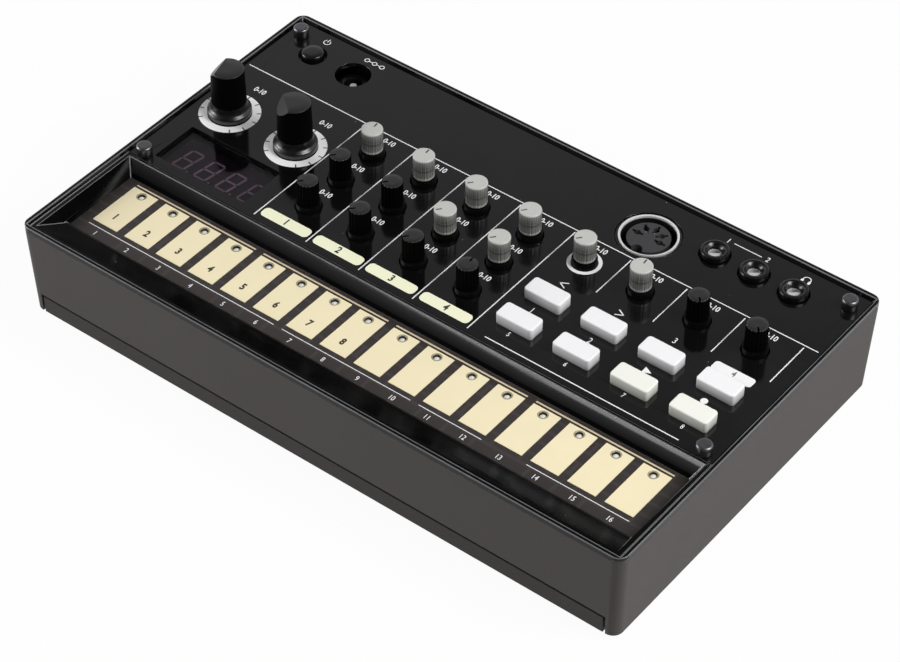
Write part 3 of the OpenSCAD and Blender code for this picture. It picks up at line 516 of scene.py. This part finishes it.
def make_circuit(name, mask_colour, track_colour, scale):
    """Solder mask with faint tracks under it."""
    f = Finish(name, mask_colour, 0.32, IOR=1.45)
    tracks = f.tree.nodes.new("ShaderNodeTexBrick")
    tracks.inputs["Scale"].default_value = scale
    tracks.inputs["Mortar Size"].default_value = 0.03
    f.tree.links.new(object_place(f.tree), tracks.inputs["Vector"])
    drift = f.noise(90, 3)
    base = f.mix(drift, shade(mask_colour, 0.85), shade(mask_colour, 1.15))
    f.colour(f.mix(tracks.outputs["Fac"], base, track_colour))
    f.rough_between(f.noise(900, 2), 0.26, 0.4)
    f.bump(tracks.outputs["Fac"], 0.02, 0.4)
    return f.material


def make_socket_ring():
    """Dull tin plate of the round socket's shell, in shade below its mouth."""
    f = Finish("socket_ring_tin", (0.86, 0.86, 0.84), 0.42, 0.55)
    place = split_place(f.tree, object_place(f.tree))
    mouth = map_range(f.tree, place["Z"], (PANEL - 0.5) * MM, (PANEL - 0.2) * MM)
    # the lip lies in shade towards the near side
    across = math_node(f.tree, "SUBTRACT", place["X"], (FIVE_PIN[0] + 0.24) * MM)
    along = math_node(f.tree, "SUBTRACT", place["Y"], (FIVE_PIN[1] - 0.32) * MM)
    square = math_node(f.tree, "ADD", math_node(f.tree, "MULTIPLY", across, across),
                       math_node(f.tree, "MULTIPLY", along, along))
    lip = map_range(f.tree, math_node(f.tree, "SQRT", square), 7.38 * MM, 7.52 * MM)
    lit = math_node(f.tree, "MULTIPLY", mouth, lip)
    plate = f.mix(f.noise(600, 3), (0.82, 0.82, 0.80), (0.95, 0.95, 0.93))
    f.colour(f.mix(lit, (0.012, 0.012, 0.012), plate))
    f.rough_between(f.noise(1400, 2), 0.36, 0.5)
    f.bump(f.noise(900, 2), 0.008, 0.4)
    return f.material


def make_cell():
    """Printed sleeve of a round cell."""
    f = Finish("cell_sleeve", (0.10, 0.25, 0.42), 0.3)
    rings = f.noise(30, 2, (1, 0, 0))
    f.colour(f.mix(rings, (0.06, 0.18, 0.34), (0.14, 0.33, 0.52)))
    f.rough_between(f.noise(800, 2), 0.24, 0.38)
    f.bump(f.noise(500, 2), 0.01, 0.4)
    return f.material


SHELL = moulded("shell_plastic", (0.078, 0.071, 0.067), 0.55, 3200, 0.028, 0.06, IOR=1.3)
# The battery cover's plastic is the shell's at about half the lightness: painted shade on the lower band of
# the case.
SHADED_COVER = moulded("cover_plastic", (0.041, 0.037, 0.035), 0.55, 3200, 0.028, 0.06, IOR=1.3)
GLOSS = polished("gloss_black", (0.0032, 0.0030, 0.0032), 0.09, 0.015, IOR=1.48)
FRAME_GLOSS = polished("frame_gloss", (0.0020, 0.0019, 0.0020), 0.12, 0.02, IOR=1.3)
# Lighter grey on the rounded edges of the gloss frame: painted highlights along the rim's edges.
FRAME_EDGE_HIGHLIGHT = polished("frame_edge", (0.14, 0.14, 0.145), 0.22, 0.02, IOR=1.6)
JET = moulded("jet_knob", (0.0012, 0.0012, 0.0012), 0.5, 2600, 0.005, 0.15, IOR=1.09)
# A lighter copy of the black knob plastic for the knobs' tops: painted light on the tops, the sides staying
# near black.
KNOB_TOP_LIT = moulded("knob_top", (0.0125, 0.0125, 0.0130), 0.34, 2600, 0.004, 0.12, IOR=1.5)
FLARE = moulded("large_knob_flare", (0.0024, 0.0024, 0.0026), 0.28, 2200, 0.002, 0.15, IOR=1.6)
BUSH = moulded("bush_plastic", (0.0020, 0.0020, 0.0020), 0.30, 2400, 0.006, 0.2, IOR=1.22)
SOCKET_BLACK = moulded("socket_plastic", (0.0028, 0.0028, 0.0028), 0.22, 2400, 0.006, 0.2, IOR=1.5)
SOCKET_CORE = moulded("socket_core_plastic", (0.032, 0.031, 0.033), 0.42, 2400, 0.006, 0.1)
FROSTED = make_frosted()
WHITE = make_button("white_button", (0.87, 0.865, 0.875))
CREAM = make_button("cream_button", (0.86, 0.86, 0.79))
WHITE_INK = moulded("white_ink", (0.88, 0.88, 0.88), 0.5, 5000, 0.006, 0.04)
LABEL_INK = moulded("label_ink", (0.90, 0.90, 0.66), 0.5, 5000, 0.006, 0.03)
SAND_INK = moulded("sand_ink", (0.62, 0.52, 0.36), 0.5, 5000, 0.006, 0.05)
# Dark print ink; the same finish paints the shadow at the bottom of the translucent knobs' slots.
DARK_INK_AND_SHADOW = moulded("dark_ink", (0.035, 0.028, 0.020), 0.5, 5000, 0.006, 0.1)
DIGIT = moulded("digit_segment", (0.52, 0.42, 0.47), 0.5, 4000, 0.004, 0.08)
DISPLAY_BODY = moulded("display_body", (0.020, 0.016, 0.021), 0.45, 2500, 0.006, 0.1)
PAD_GOLD = make_pad_gold()
LENS = make_clear_lens()
SMOKE = make_smoke()
KEY_MASK = make_circuit("key_board_mask", (0.032, 0.026, 0.024), (0.045, 0.037, 0.034), 60)
BOARD_MASK = make_circuit("control_board_mask", (0.012, 0.075, 0.030), (0.02, 0.13, 0.055), 140)
SCREW = metal("screw_black_zinc", (0.16, 0.16, 0.17), 0.34, (1, 1, 0.1))
STEEL = metal("turned_steel", (0.52, 0.52, 0.53), 0.3, (1, 1, 0.05))
NICKEL = metal("nickel_plate", (0.86, 0.85, 0.82), 0.2)
SOCKET_RING = make_socket_ring()
CONTACT = moulded("contact_tin", (0.80, 0.80, 0.78), 0.34, 1800, 0.004, 0.08, Metallic=0.5)
LAMP_RING = moulded("lamp_ring_plate", (0.34, 0.30, 0.185), 0.34, 2600, 0.006, 0.2)
RUBBER = moulded("foot_rubber", (0.018, 0.018, 0.018), 0.75, 2200, 0.04, 0.15)
PAPER = moulded("cone_paper", (0.030, 0.029, 0.028), 0.8, 1800, 0.05, 0.2)
RED_WIRE = moulded("lead_sleeve", (0.42, 0.045, 0.035), 0.4, 1500, 0.006, 0.1)
CELL = make_cell()


# ---- shapes ----

def mesh_from(name, verts, faces, sharp=35):
    """A mesh from millimetre points, smooth but for edges sharper than the angle."""
    mesh = bpy.data.meshes.new(name)
    mesh.from_pydata([Vector(v) * MM for v in verts], [], faces)
    mesh.validate()
    smooth_by_angle(mesh, sharp)
    return mesh


def smooth_by_angle(mesh, sharp=35):
    mesh.shade_smooth()
    mesh.set_sharp_from_angle(angle=math.radians(sharp))


class Shape:
    """Points and faces in millimetres, gathered from several simple forms."""

    def __init__(self):
        self.verts = []
        self.faces = []

    def add(self, verts, faces):
        base = len(self.verts)
        self.verts += [tuple(v) for v in verts]
        self.faces += [tuple(base + k for k in f) for f in faces]

    def rings(self, rings):
        """Skins a stack of closed rings, and caps both ends."""
        n = len(rings[0])
        verts = [p for ring in rings for p in ring]
        faces = []
        for a in range(len(rings) - 1):
            for k in range(n):
                m = (k + 1) % n
                faces.append((a * n + k, a * n + m, (a + 1) * n + m, (a + 1) * n + k))
        faces.append(tuple(reversed(range(n))))
        faces.append(tuple(range((len(rings) - 1) * n, len(rings) * n)))
        self.add(verts, faces)

    def turned(self, profile, at=(0, 0), n=48):
        """A profile of (radius, height), bottom first outside, turned about an upright axis."""
        verts = []
        rows = []
        for r, z in profile:
            if r < 1e-6:
                rows.append([len(verts)])
                verts.append((at[0], at[1], z))
                continue
            rows.append([len(verts) + k for k in range(n)])
            for k in range(n):
                a = 2 * math.pi * k / n
                verts.append((at[0] + r * math.cos(a), at[1] + r * math.sin(a), z))
        faces = []
        for low, high in zip(rows, rows[1:]):
            for k in range(n):
                m = (k + 1) % n
                if len(low) == 1:
                    faces.append((low[0], high[m], high[k]))
                elif len(high) == 1:
                    faces.append((low[k], low[m], high[0]))
                else:
                    faces.append((low[k], low[m], high[m], high[k]))
        self.add(verts, faces)

    def prism(self, outline, z0, z1):
        """A flat outline, counter-clockwise from above, raised from z0 to z1."""
        self.rings([[(x, y, z0) for x, y in outline], [(x, y, z1) for x, y in outline]])

    def box(self, low, high):
        outline = [(low[0], low[1]), (high[0], low[1]), (high[0], high[1]), (low[0], high[1])]
        self.prism(outline, low[2], high[2])

    def ring(self, at, outer, inner, z0, z1, n=64):
        """A flat ring with a square section."""
        loops = []
        for r, z in ((inner, z0), (outer, z0), (outer, z1), (inner, z1)):
            turns = [2 * math.pi * k / n for k in range(n)]
            loops.append([(at[0] + r * math.cos(a), at[1] + r * math.sin(a), z) for a in turns])
        verts = [p for loop in loops for p in loop]
        faces = []
        for a in range(4):
            b = (a + 1) % 4
            for k in range(n):
                m = (k + 1) % n
                faces.append((a * n + k, a * n + m, b * n + m, b * n + k))
        self.add(verts, faces)

    def mesh(self, name, sharp=35):
        return mesh_from(name, self.verts, self.faces, sharp)


def rounded(w, l, r, n=6, at=(0, 0)):
    """Outline of a rounded rectangle, counter-clockwise."""
    points = []
    for cx, cy, start in ((1, 1, 0), (-1, 1, 90), (-1, -1, 180), (1, -1, 270)):
        for k in range(n + 1):
            a = math.radians(start + 90 * k / n)
            points.append((at[0] + cx * (w / 2 - r) + r * math.cos(a),
                           at[1] + cy * (l / 2 - r) + r * math.sin(a)))
    return points


def piece(name, mesh, material, body, replaces=(), at=(0, 0, 0), turn=0):
    """Places a mesh, in millimetres, turned clockwise seen from above, on its body."""
    obj = bpy.data.objects.new(name, mesh)
    bpy.context.scene.collection.objects.link(obj)
    if not mesh.materials:
        mesh.materials.append(material)
    obj.location = Vector(at) * MM
    obj.rotation_euler = (0, 0, -math.radians(turn))
    bpy.context.view_layer.update()
    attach(obj, body)
    if replaces:
        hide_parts(*replaces)
    return obj


def cut(mesh, cutter, name):
    """The mesh with the cutter's space taken out."""
    whole = bpy.data.objects.new(name, mesh)
    tool = bpy.data.objects.new(name + "_tool", cutter)
    for obj in (whole, tool):
        bpy.context.scene.collection.objects.link(obj)
    carve = whole.modifiers.new("carve", "BOOLEAN")
    carve.operation = "DIFFERENCE"
    carve.solver = "EXACT"
    carve.object = tool
    depsgraph = bpy.context.evaluated_depsgraph_get()
    result = bpy.data.meshes.new_from_object(whole.evaluated_get(depsgraph))
    result.name = name
    bpy.data.objects.remove(whole)
    bpy.data.objects.remove(tool)
    smooth_by_angle(result)
    return result


def soften(obj, width_mm, segments=2, angle=40, edge_slot=-1):
    """Breaks the sharp edges of a piece by a small round, in the finish of edge_slot if given."""
    weld = obj.modifiers.new("weld", "WELD")
    weld.merge_threshold = 1e-6
    round_edge = obj.modifiers.new("edge round", "BEVEL")
    round_edge.width = width_mm * MM
    round_edge.segments = segments
    round_edge.limit_method = "ANGLE"
    round_edge.angle_limit = math.radians(angle)
    round_edge.use_clamp_overlap = edge_slot < 0
    round_edge.harden_normals = True
    round_edge.material = edge_slot


def dress(node, material, round_mm=0.0, edge=None):
    """Gives a carried-over solid its material and, if asked, softer edges, in a finish of their own; on the
    frame that finish is a lighter grey, a painted highlight on the rounds.
    """
    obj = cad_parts[node]
    if not obj.data.materials:
        obj.data.materials.append(None)
    finishes = [material] * len(obj.material_slots)
    if edge:
        obj.data.materials.append(None)
        finishes.append(edge)
    for place, finish in zip(obj.material_slots, finishes):
        place.link = "OBJECT"
        place.material = finish
    if round_mm:
        soften(obj, round_mm, edge_slot=len(finishes) - 1 if edge else -1)


def numeral(shape, words, x, y, z, height, bold=0.0):
    """Adds plain printed figures, centred on x and y."""
    curve = bpy.data.curves.new("figures", "FONT")
    curve.body = words
    curve.size = height * 1.4
    curve.align_x = "CENTER"
    curve.align_y = "CENTER"
    curve.extrude = INK / 2
    curve.offset = bold
    curve.resolution_u = 3
    obj = bpy.data.objects.new("figures", curve)
    bpy.context.scene.collection.objects.link(obj)
    depsgraph = bpy.context.evaluated_depsgraph_get()
    mesh = bpy.data.meshes.new_from_object(obj.evaluated_get(depsgraph))
    verts = [(x + v.co.x * FIGURE_SQUEEZE, y + v.co.y, z + INK / 2 + v.co.z) for v in mesh.vertices]
    shape.add(verts, [tuple(p.vertices) for p in mesh.polygons])
    bpy.data.objects.remove(obj)


# ---- carried-over solids ----

dress("bottom_case", SHELL, 0.35)
dress("battery_cover", SHADED_COVER, 0.25)
# The frame's edge rounds get the lighter grey finish, a painted highlight.
dress("top_case", FRAME_GLOSS, 0.2, FRAME_EDGE_HIGHLIGHT)
dress("control_panel", GLOSS, 0.10)
dress("key_board", KEY_MASK)
dress("touch_pads", PAD_GOLD)
dress("display_window", SMOKE, 0.1)
dress("digit_display", DISPLAY_BODY)
dress("control_board", BOARD_MASK)
dress("board_screws", STEEL, 0.15)
dress("small_pots", BUSH, 0.12)
dress("large_pots", STEEL, 0.12)
dress("button_switches", BUSH, 0.1)
dress("five_pin_housing", SOCKET_BLACK, 0.1)
dress("five_pin_shell", SOCKET_RING, 0.12)
dress("five_pin_core", SOCKET_CORE, 0.08)
dress("socket_contacts", CONTACT, 0.1)
dress("power_jack", SOCKET_BLACK, 0.12)
dress("speaker_frame", STEEL, 0.15)
dress("speaker_cone", PAPER)
dress("wiring", RED_WIRE)
dress("battery_contacts", NICKEL)
dress("battery_cells", CELL)
dress("rear_feet", RUBBER, 0.3)
dress("front_feet", RUBBER, 0.3)
dress("time_shaft", STEEL, 0.1)
dress("depth_shaft", STEEL, 0.1)


def finish_faces(mesh, finishes, choose):
    """Gives each face one of the finishes; choose takes its middle, in millimetres, and its normal."""
    for material in finishes:
        mesh.materials.append(material)
    for face in mesh.polygons:
        face.material_index = choose(face.center / MM, face.normal)


# ---- small knobs ----

def small_knob_mesh(name, flute_top, depth, slot_from, slot_to):
    """Fluted head on a plain stem; the pointer slot runs along +Y."""
    flutes, per = 20, 6
    n = flutes * per
    head = KNOB_HEAD
    levels = [(1.5, -12.45, 0), (1.5, -0.02, 0), (2.7, 0.0, 0), (2.86, 0.04, 0), (2.96, 0.18, 0.6)]
    levels += [(2.98, 0.35, 1), (2.98, flute_top - 0.25, 1), (2.99, flute_top, 0)]
    levels += [(3.0, head - 0.35, 0), (2.97, head - 0.18, 0), (2.88, head - 0.06, 0), (2.72, head, 0)]
    if flute_top > 6:
        levels = levels[:6] + [(2.97, head - 0.5, 1), (2.93, head - 0.2, 1), (2.84, head - 0.06, 1),
                               (2.66, head, 0.7)]
    levels += [(1.4, head, 0), (0.4, head, 0)]
    rings = []
    for r, z, share in levels:
        ring = []
        for k in range(n):
            a = 2 * math.pi * k / n
            groove = depth * share * (0.5 - 0.5 * math.cos(flutes * a)) ** 0.7
            ring.append(((r - groove) * math.cos(a), (r - groove) * math.sin(a), z))
        rings.append(ring)
    body = Shape()
    body.rings(rings)
    slot = Shape()
    slot.box((-0.24, slot_from, head - 0.75), (0.24, slot_to, head + 1))
    return cut(body.mesh(name), slot.mesh(name + "_slot"), name)


def pointer_shadow_mesh():
    """Dark fill at the bottom of a translucent knob's slot, a painted shadow in the slot."""
    line = Shape()
    line.box((-0.235, 0.92, 6.2), (0.235, 2.54, 6.78))
    return line.mesh("pointer_fill")


def add_small_knobs():
    frosted = small_knob_mesh("frosted_head", 4.9, 0.13, 0.9, 2.56)
    jet = small_knob_mesh("jet_head", 6.9, 0.2, 1.1, 4.0)
    # Top faces of the black knobs take the lighter top finish, painted light.
    finish_faces(jet, (JET, KNOB_TOP_LIT), lambda middle, normal: int(middle.z > 6.5 and normal.z > 0.35))
    fill = pointer_shadow_mesh()
    for name, (column, row, turn, clear) in SMALL_KNOBS.items():
        at = (COLUMNS[column], ROWS[row], KNOB_FOOT)
        mesh, material, slot = (frosted, FROSTED, "frosted") if clear else (jet, JET, "knob")
        piece(name + "_head", mesh, material, name + "_body", (name,), at, turn)
        if clear:
            # The dark fill in the slot is painted shadow.
            piece(name + "_pointer", fill, DARK_INK_AND_SHADOW, name + "_body", (), at, turn)


# ---- large knobs ----

def large_knob_mesh():
    """Knob on a wide flange, with a sloped pointer facet towards +Y, bored for its shaft."""
    top, r_top = 15.4, 4.6
    knob = Shape()
    knob.turned([(0, 11.9), (3.05, 11.9), (3.05, 0.35), (5.85, 0.35), (6.03, 0.43), (6.1, 0.6), (6.1, 1.75),
                 (6.06, 1.9), (5.96, 2.02), (5.62, 2.25), (5.35, 2.5), (5.14, 2.85), (5.0, 3.3), (4.92, 3.9),
                 (4.88, 4.6), (r_top + 0.02, top - 0.45), (r_top - 0.03, top - 0.22),
                 (r_top - 0.14, top - 0.06),
                 (r_top - 0.34, top), (1.5, top), (0, top)], n=96)
    wedge = Shape()
    start, drop, far = 2.2, 2.8, 9
    low = top - drop / (r_top - start) * (far - start)
    side = [(start, top), (start, top + 3), (far, top + 3), (far, low)]
    wedge.rings([[(x, y, z) for y, z in side] for x in (far, -far)])
    mesh = cut(knob.mesh("large_knob"), wedge.mesh("facet_wedge"), "large_knob")
    # The top and the facet take the lighter top finish, painted light.
    finish_faces(mesh, (JET, KNOB_TOP_LIT, FLARE), lambda middle, normal: 1 if middle.z > 9 and normal.z > 0.3
                 else 2 if middle.z < 4.7 else 0)
    return mesh


def add_large_knobs():
    mesh = large_knob_mesh()
    for name, (x, y), turn in (("time", BIG_KNOBS[0], -105), ("depth", BIG_KNOBS[1], -140)):
        knob = piece(name + "_knob_cap", mesh, FLARE, name + "_knob_body", (name + "_knob",),
                     (x, y, PANEL), turn)
        soften(knob, 0.12, 3, 24)


# ---- buttons ----

BUTTON_POST = [(0, POST_FOOT), (1.7, POST_FOOT), (1.7, FLANGE_FOOT), (0, FLANGE_FOOT)]


def button_mesh(w, l, h, name):
    """Crisp cap with the flange and post that hold it under the panel; z 0 is the panel's top."""
    r, edge = 1.0, 0.42
    cap = Shape()
    rings = [[(x, y, UNDER) for x, y in rounded(w, l, r)]]
    for k in range(7):
        a = math.radians(15 * k)
        inset = edge * (1 - math.cos(a))
        z = h - edge + edge * math.sin(a)
        rings.append([(x, y, z) for x, y in rounded(w - 2 * inset, l - 2 * inset, max(r - inset, 0.35))])
    rings.append([(x, y, h - 0.03) for x, y in rounded(w - 2.6, l - 2.6, 0.4)])
    cap.rings(rings)
    cap.box((-w / 2 - 0.9, -l / 2 - 0.9, FLANGE_FOOT), (w / 2 + 0.9, l / 2 + 0.9, UNDER))
    cap.turned(BUTTON_POST, n=32)
    return cap.mesh(name, 40)


def add_buttons():
    mesh = {WHITE: button_mesh(*BUTTON_SIZE, "white_cap"), CREAM: button_mesh(*BUTTON_SIZE, "cream_cap")}
    for name, (i, j) in BUTTONS.items():
        material = CREAM if name in ("play_button", "record_button") else WHITE
        piece(name + "_cap", mesh[material], material, name + "_body", (name,),
              (BUTTON_X[i], BUTTON_Y[j], PANEL))
    power = Shape()
    power.turned([(0, UNDER), (3.2, UNDER), (3.2, 0.85), (3.14, 1.1), (2.95, 1.27), (2.7, 1.35),
                  (1.6, 1.39), (0, 1.4)], n=56)
    power.turned([(0, FLANGE_FOOT), (4.1, FLANGE_FOOT), (4.1, UNDER), (0, UNDER)], n=56)
    power.turned(BUTTON_POST, n=32)
    piece("power_button_cap", power.mesh("power_cap", 40), SOCKET_BLACK, "power_button_body",
          ("power_button",), (*POWER_BUTTON, PANEL))


# ---- screws and sockets ----

def add_panel_screws():
    """Cheese heads. The cross cutter leaves no recess in them, so they are plain on top."""
    head = Shape()
    head.turned([(0, -21), (1.45, -21), (1.45, 0), (2.12, 0), (2.2, 0.12), (2.2, 2.45), (2.14, 2.75),
                 (1.95, 2.98), (1.7, 3.08), (1.5, 3.1), (0, 3.1)], n=48)
    cross = Shape()
    for w, l in ((0.42, 1.5), (1.5, 0.42)):
        cross.rings([[(x, y, z) for x, y in rounded(2 * w * k, 2 * l * k, 0.1)]
                     for z, k in ((1.7, 0.7), (4, 1.0))])
    mesh = cut(head.mesh("cross_screw"), cross.mesh("cross_tool"), "cross_screw")
    for k, (x, y) in enumerate(SCREWS):
        screw = piece("panel_screw_%d" % (k + 1), mesh, SCREW, "case", ("panel_screws",),
                      (x, y, PANEL), 17 * k)
        soften(screw, 0.06, 2, 40)


def add_jacks():
    """Round plug sockets: soft collar, funnel mouth, plated sleeve inside."""
    base = CONTROL_BOARD - PANEL
    body = Shape()
    body.turned([(1.8, base), (3.75, base), (3.75, UNDER), (3.9, UNDER), (3.9, 1.35), (3.86, 1.55),
                 (3.72, 1.72), (3.5, 1.8), (3.0, 1.8), (2.75, 1.72), (2.5, 1.5), (2.05, 1.1), (1.8, 0.7),
                 (1.8, base)], n=56)
    body.ring((0, 0), 4.2, 3.7, base, UNDER - 0.02, 56)
    mesh = body.mesh("plug_socket", 30)
    sleeve = Shape()
    sleeve.ring((0, 0), 1.79, 1.6, -4.6, 0.1, 40)
    near = [math.radians(-150 + 15 * k) for k in range(14)]
    sleeve.prism([(1.55 * math.cos(a), 1.55 * math.sin(a)) for a in near], -0.1, 0.15)
    inner = sleeve.mesh("socket_sleeve")
    for name, (x, y) in zip(("sync_in", "sync_out", "phones"), JACKS):
        piece(name + "_socket", mesh, SOCKET_BLACK, "case", (name + "_jack",), (x, y, PANEL))
        piece(name + "_sleeve", inner, CONTACT, "case", (), (x, y, PANEL))


def add_lamps():
    """A clear dome at each key, set low in a plated ring of the pad."""
    lens = Shape()
    rings = Shape()
    for x in PADS:
        lens.turned([(0, KEY_BOARD - 2.6), (1.6, KEY_BOARD - 2.6), (1.6, KEY_BOARD - 1.6),
                     (0.95, KEY_BOARD - 1.6), (0.95, KEY_BOARD - 0.8), (0.85, KEY_BOARD - 0.55),
                     (0.55, KEY_BOARD - 0.38), (0, KEY_BOARD - 0.32)], (x, LAMP_Y), 24)
        rings.turned([(1.06, KEY_BOARD - 0.3), (1.06, KEY_BOARD + 0.1), (1.2, KEY_BOARD + 0.2),
                      (1.42, KEY_BOARD + 0.2), (1.55, KEY_BOARD + 0.1)], (x, LAMP_Y), 32)
    piece("key_lamps", lens.mesh("key_lamps"), LENS, "case", ("step_lamps",))
    piece("key_lamp_rings", rings.mesh("key_lamp_rings"), LAMP_RING, "case")


def add_digits():
    """Four slanted seven-segment digits on the display's face."""
    ink = Shape()
    w, h, t, lean = 3.9, 7.75, 0.68, math.tan(math.radians(7.8))
    for k in range(4):
        cx = -82.92 + 7.6 * k
        cy = -6.87
        bars = [((-w / 2 + 0.5, h / 2), (w / 2 - 0.5, h / 2)), ((-w / 2 + 0.5, 0), (w / 2 - 0.5, 0)),
                ((-w / 2 + 0.5, -h / 2), (w / 2 - 0.5, -h / 2)),
                ((-w / 2, 0.4), (-w / 2, h / 2 - 0.4)), ((w / 2, 0.4), (w / 2, h / 2 - 0.4)),
                ((-w / 2, -h / 2 + 0.4), (-w / 2, -0.4)), ((w / 2, -h / 2 + 0.4), (w / 2, -0.4))]
        for (x0, y0), (x1, y1) in bars:
            along = Vector((x1 - x0, y1 - y0)).normalized() * t / 2
            across = Vector((-along.y, along.x))
            tip0 = Vector((x0, y0))
            tip1 = Vector((x1, y1))
            corners = [tip0 - along, tip0 - across, tip1 - across,
                       tip1 + along, tip1 + across, tip0 + across]
            ink.prism([(cx + p.x + lean * p.y, cy + p.y) for p in corners], DISPLAY_FACE, DISPLAY_FACE + INK)
        dot = [(cx + w / 2 + 0.9 + 0.35 * math.cos(a), cy - h / 2 + 0.35 * math.sin(a))
               for a in [math.pi * q / 6 for q in range(12)]]
        ink.prism(dot, DISPLAY_FACE, DISPLAY_FACE + INK)
    piece("display_digits", ink.mesh("display_digits"), DIGIT, "case")


# ---- printing ----

def line(ink, a, b, width, z):
    """A straight printed stroke from a to b."""
    along = (Vector(b) - Vector(a)).normalized()
    side = Vector((-along.y, along.x)) * width / 2
    corners = [Vector(a) - side, Vector(b) - side, Vector(b) + side, Vector(a) + side]
    ink.prism([(p.x, p.y) for p in corners], z, z + INK)


def arc_line(ink, middle, r, start, step, z):
    """Ten short strokes round a point, a step in degrees each."""
    turns = [math.radians(start + step * k) for k in range(11)]
    arc = [(middle[0] + r * math.cos(a), middle[1] + r * math.sin(a)) for a in turns]
    for a, b in zip(arc, arc[1:]):
        line(ink, a, b, SIGN_W, z)


def print_panel_lines(white, z):
    """One line along the panel, and the lines that part its columns."""
    line(white, (-93.7, 31.35), (93.7, 31.35), LINE_W, z)
    for x in (-51.7, -34.05, -16.4, 1.3, 19.0):
        line(white, (x, -15.9), (x, 30.5), LINE_W, z)
    for x in (36.8, 54.5, 72.3, 89.9):
        line(white, (x, 15.0), (x, 30.5), LINE_W, z)
    line(white, (24.4, -15.6), (83.6, -15.6), LINE_W, z)


def print_labels(label, dark, z):
    """A numbered bar at the foot of each of the first four columns."""
    for k, x in enumerate((-42.9, -25.2, -7.6, 10.1)):
        label.prism(rounded(15.8, 3.6, 1.3, 6, (x, LABEL_Y)), z, z + INK)
        numeral(dark, str(k + 1), x, LABEL_Y, z + INK, 2.4, bold=0.1)


def print_dials(white, dark, z):
    """Rings round three knobs, ticks on the large ones, and the range at every knob."""
    for x, y in BIG_KNOBS:
        white.ring((x, y), DIAL_R, 6.15, z, z + INK, 96)
        for k in range(11):
            a = math.radians(90 - (-140 + 28 * k))
            tick = [(x + r * math.cos(a), y + r * math.sin(a)) for r in (7.4, DIAL_R)]
            line(dark, tick[0], tick[1], 0.34, z + INK)
    white.ring((COLUMNS[4], ROWS[0]), 4.7, 3.65, z, z + INK, 80)
    for column, row, _, _ in SMALL_KNOBS.values():
        numeral(white, "0-10", COLUMNS[column] + 0.6, ROWS[row] + 6.4, z, 1.9, bold=0.05)
    for x, y in BIG_KNOBS:
        numeral(white, "0-10", x + 0.4, y + 12.2, z, 1.9, bold=0.05)


def print_button_signs(white, dark, z):
    """Transport signs and plain numbers beside the buttons."""
    for x, s in ((28.5, -1), (46.3, 1)):
        line(white, (x - 1.0 * s, 11.2), (x + 1.1 * s, 12.3), LINE_W, z)
        line(white, (x + 1.1 * s, 12.3), (x - 1.0 * s, 13.4), LINE_W, z)
    white.prism([(62.7, -1.9), (65.1, -0.7), (62.7, 0.5)], z, z + INK)
    white.turned([(0, z + INK), (1.0, z + INK), (1.0, z), (0, z)][::-1], (80.9, -0.6), 32)
    for k, (x, y) in enumerate(((28.0, -0.6), (46.1, -0.6), (63.0, 12.6))):
        numeral(white, str(k + 1), x, y, z, 2.1)
    for k, x in enumerate(BUTTON_X):
        numeral(white, str(k + 5), x, -11.3, z, 1.6)
    white.prism(rounded(12.0, 3.4, 1.0, 6, (81.2, 11.7)), z, z + INK)
    numeral(dark, "4", 81.4, 11.7, z + INK, 2.1)


def print_socket_signs(white, z):
    """Power sign, polarity sign and headset sign, and the numbers of the two sync sockets."""
    x, y = -83.0, 52.3
    arc_line(white, (x, y), 1.0, 125, 29, z)
    line(white, (x, y + 0.1), (x, y + 1.5), SIGN_W, z)
    x, y = -66.5, 53.0
    for k in (-1, 0, 1):
        white.ring((x + 2.6 * k, y), 0.8, 0.55, z, z + INK, 32)
    line(white, (x - 1.8, y), (x - 0.8, y), SIGN_W, z)
    line(white, (x + 0.8, y), (x + 1.8, y), SIGN_W, z)
    x, y = JACKS[2][0], 52.2
    arc_line(white, (x, y), 1.1, -10, 20, z)
    for s in (-1, 1):
        white.prism(rounded(0.7, 1.1, 0.2, 3, (x + 1.05 * s, y - 0.7)), z, z + INK)
    for k in (0, 1):
        numeral(white, str(k + 1), JACKS[k][0], SYNC_SIGN_Y, z, 1.9)
    line(white, (54.3, SYNC_SIGN_Y), (62.8, SYNC_SIGN_Y), SIGN_W, z)


def add_panel_print():
    white = Shape()
    dark = Shape()
    label = Shape()
    print_panel_lines(white, PANEL)
    print_labels(label, dark, PANEL)
    print_dials(white, dark, PANEL)
    print_button_signs(white, dark, PANEL)
    print_socket_signs(white, PANEL)
    piece("panel_white_print", white.mesh("panel_white_print"), WHITE_INK, "case")
    piece("panel_dark_print", dark.mesh("panel_dark_print"), DARK_INK_AND_SHADOW, "case")
    piece("panel_label_bars", label.mesh("panel_label_bars"), LABEL_INK, "case")


def add_key_print():
    """Lines and numbers of the key board and the pads."""
    white = Shape()
    sand = Shape()
    dark = Shape()
    z = KEY_BOARD
    for a, b in ((0, 3), (4, 7), (8, 11), (12, 15)):
        line(sand, (PADS[a] - PAD_HALF, -22.4), (PADS[b] + PAD_HALF, -22.4), 0.5, z)
    for a, b in ((0, 5), (6, 9), (10, 11), (13, 15)):
        line(white, (PADS[a] - PAD_HALF, -41.4), (PADS[b] + PAD_HALF, -41.4), 0.2, z)
    for k, x in enumerate(PADS):
        numeral(white, str(k + 1), x, -43.6, z, 1.7)
    for k in range(8):
        numeral(dark, str(k + 1), PADS[k], -35.6, z + 0.15, 2.3, bold=0.13)
    piece("key_white_print", white.mesh("key_white_print"), WHITE_INK, "case")
    piece("key_sand_lines", sand.mesh("key_sand_lines"), SAND_INK, "case")
    piece("pad_numbers", dark.mesh("pad_numbers"), DARK_INK_AND_SHADOW, "case")


add_small_knobs()
add_large_knobs()
add_buttons()
add_panel_screws()
add_jacks()
add_lamps()
add_digits()
add_panel_print()
add_key_print()

bpy.context.view_layer.update()
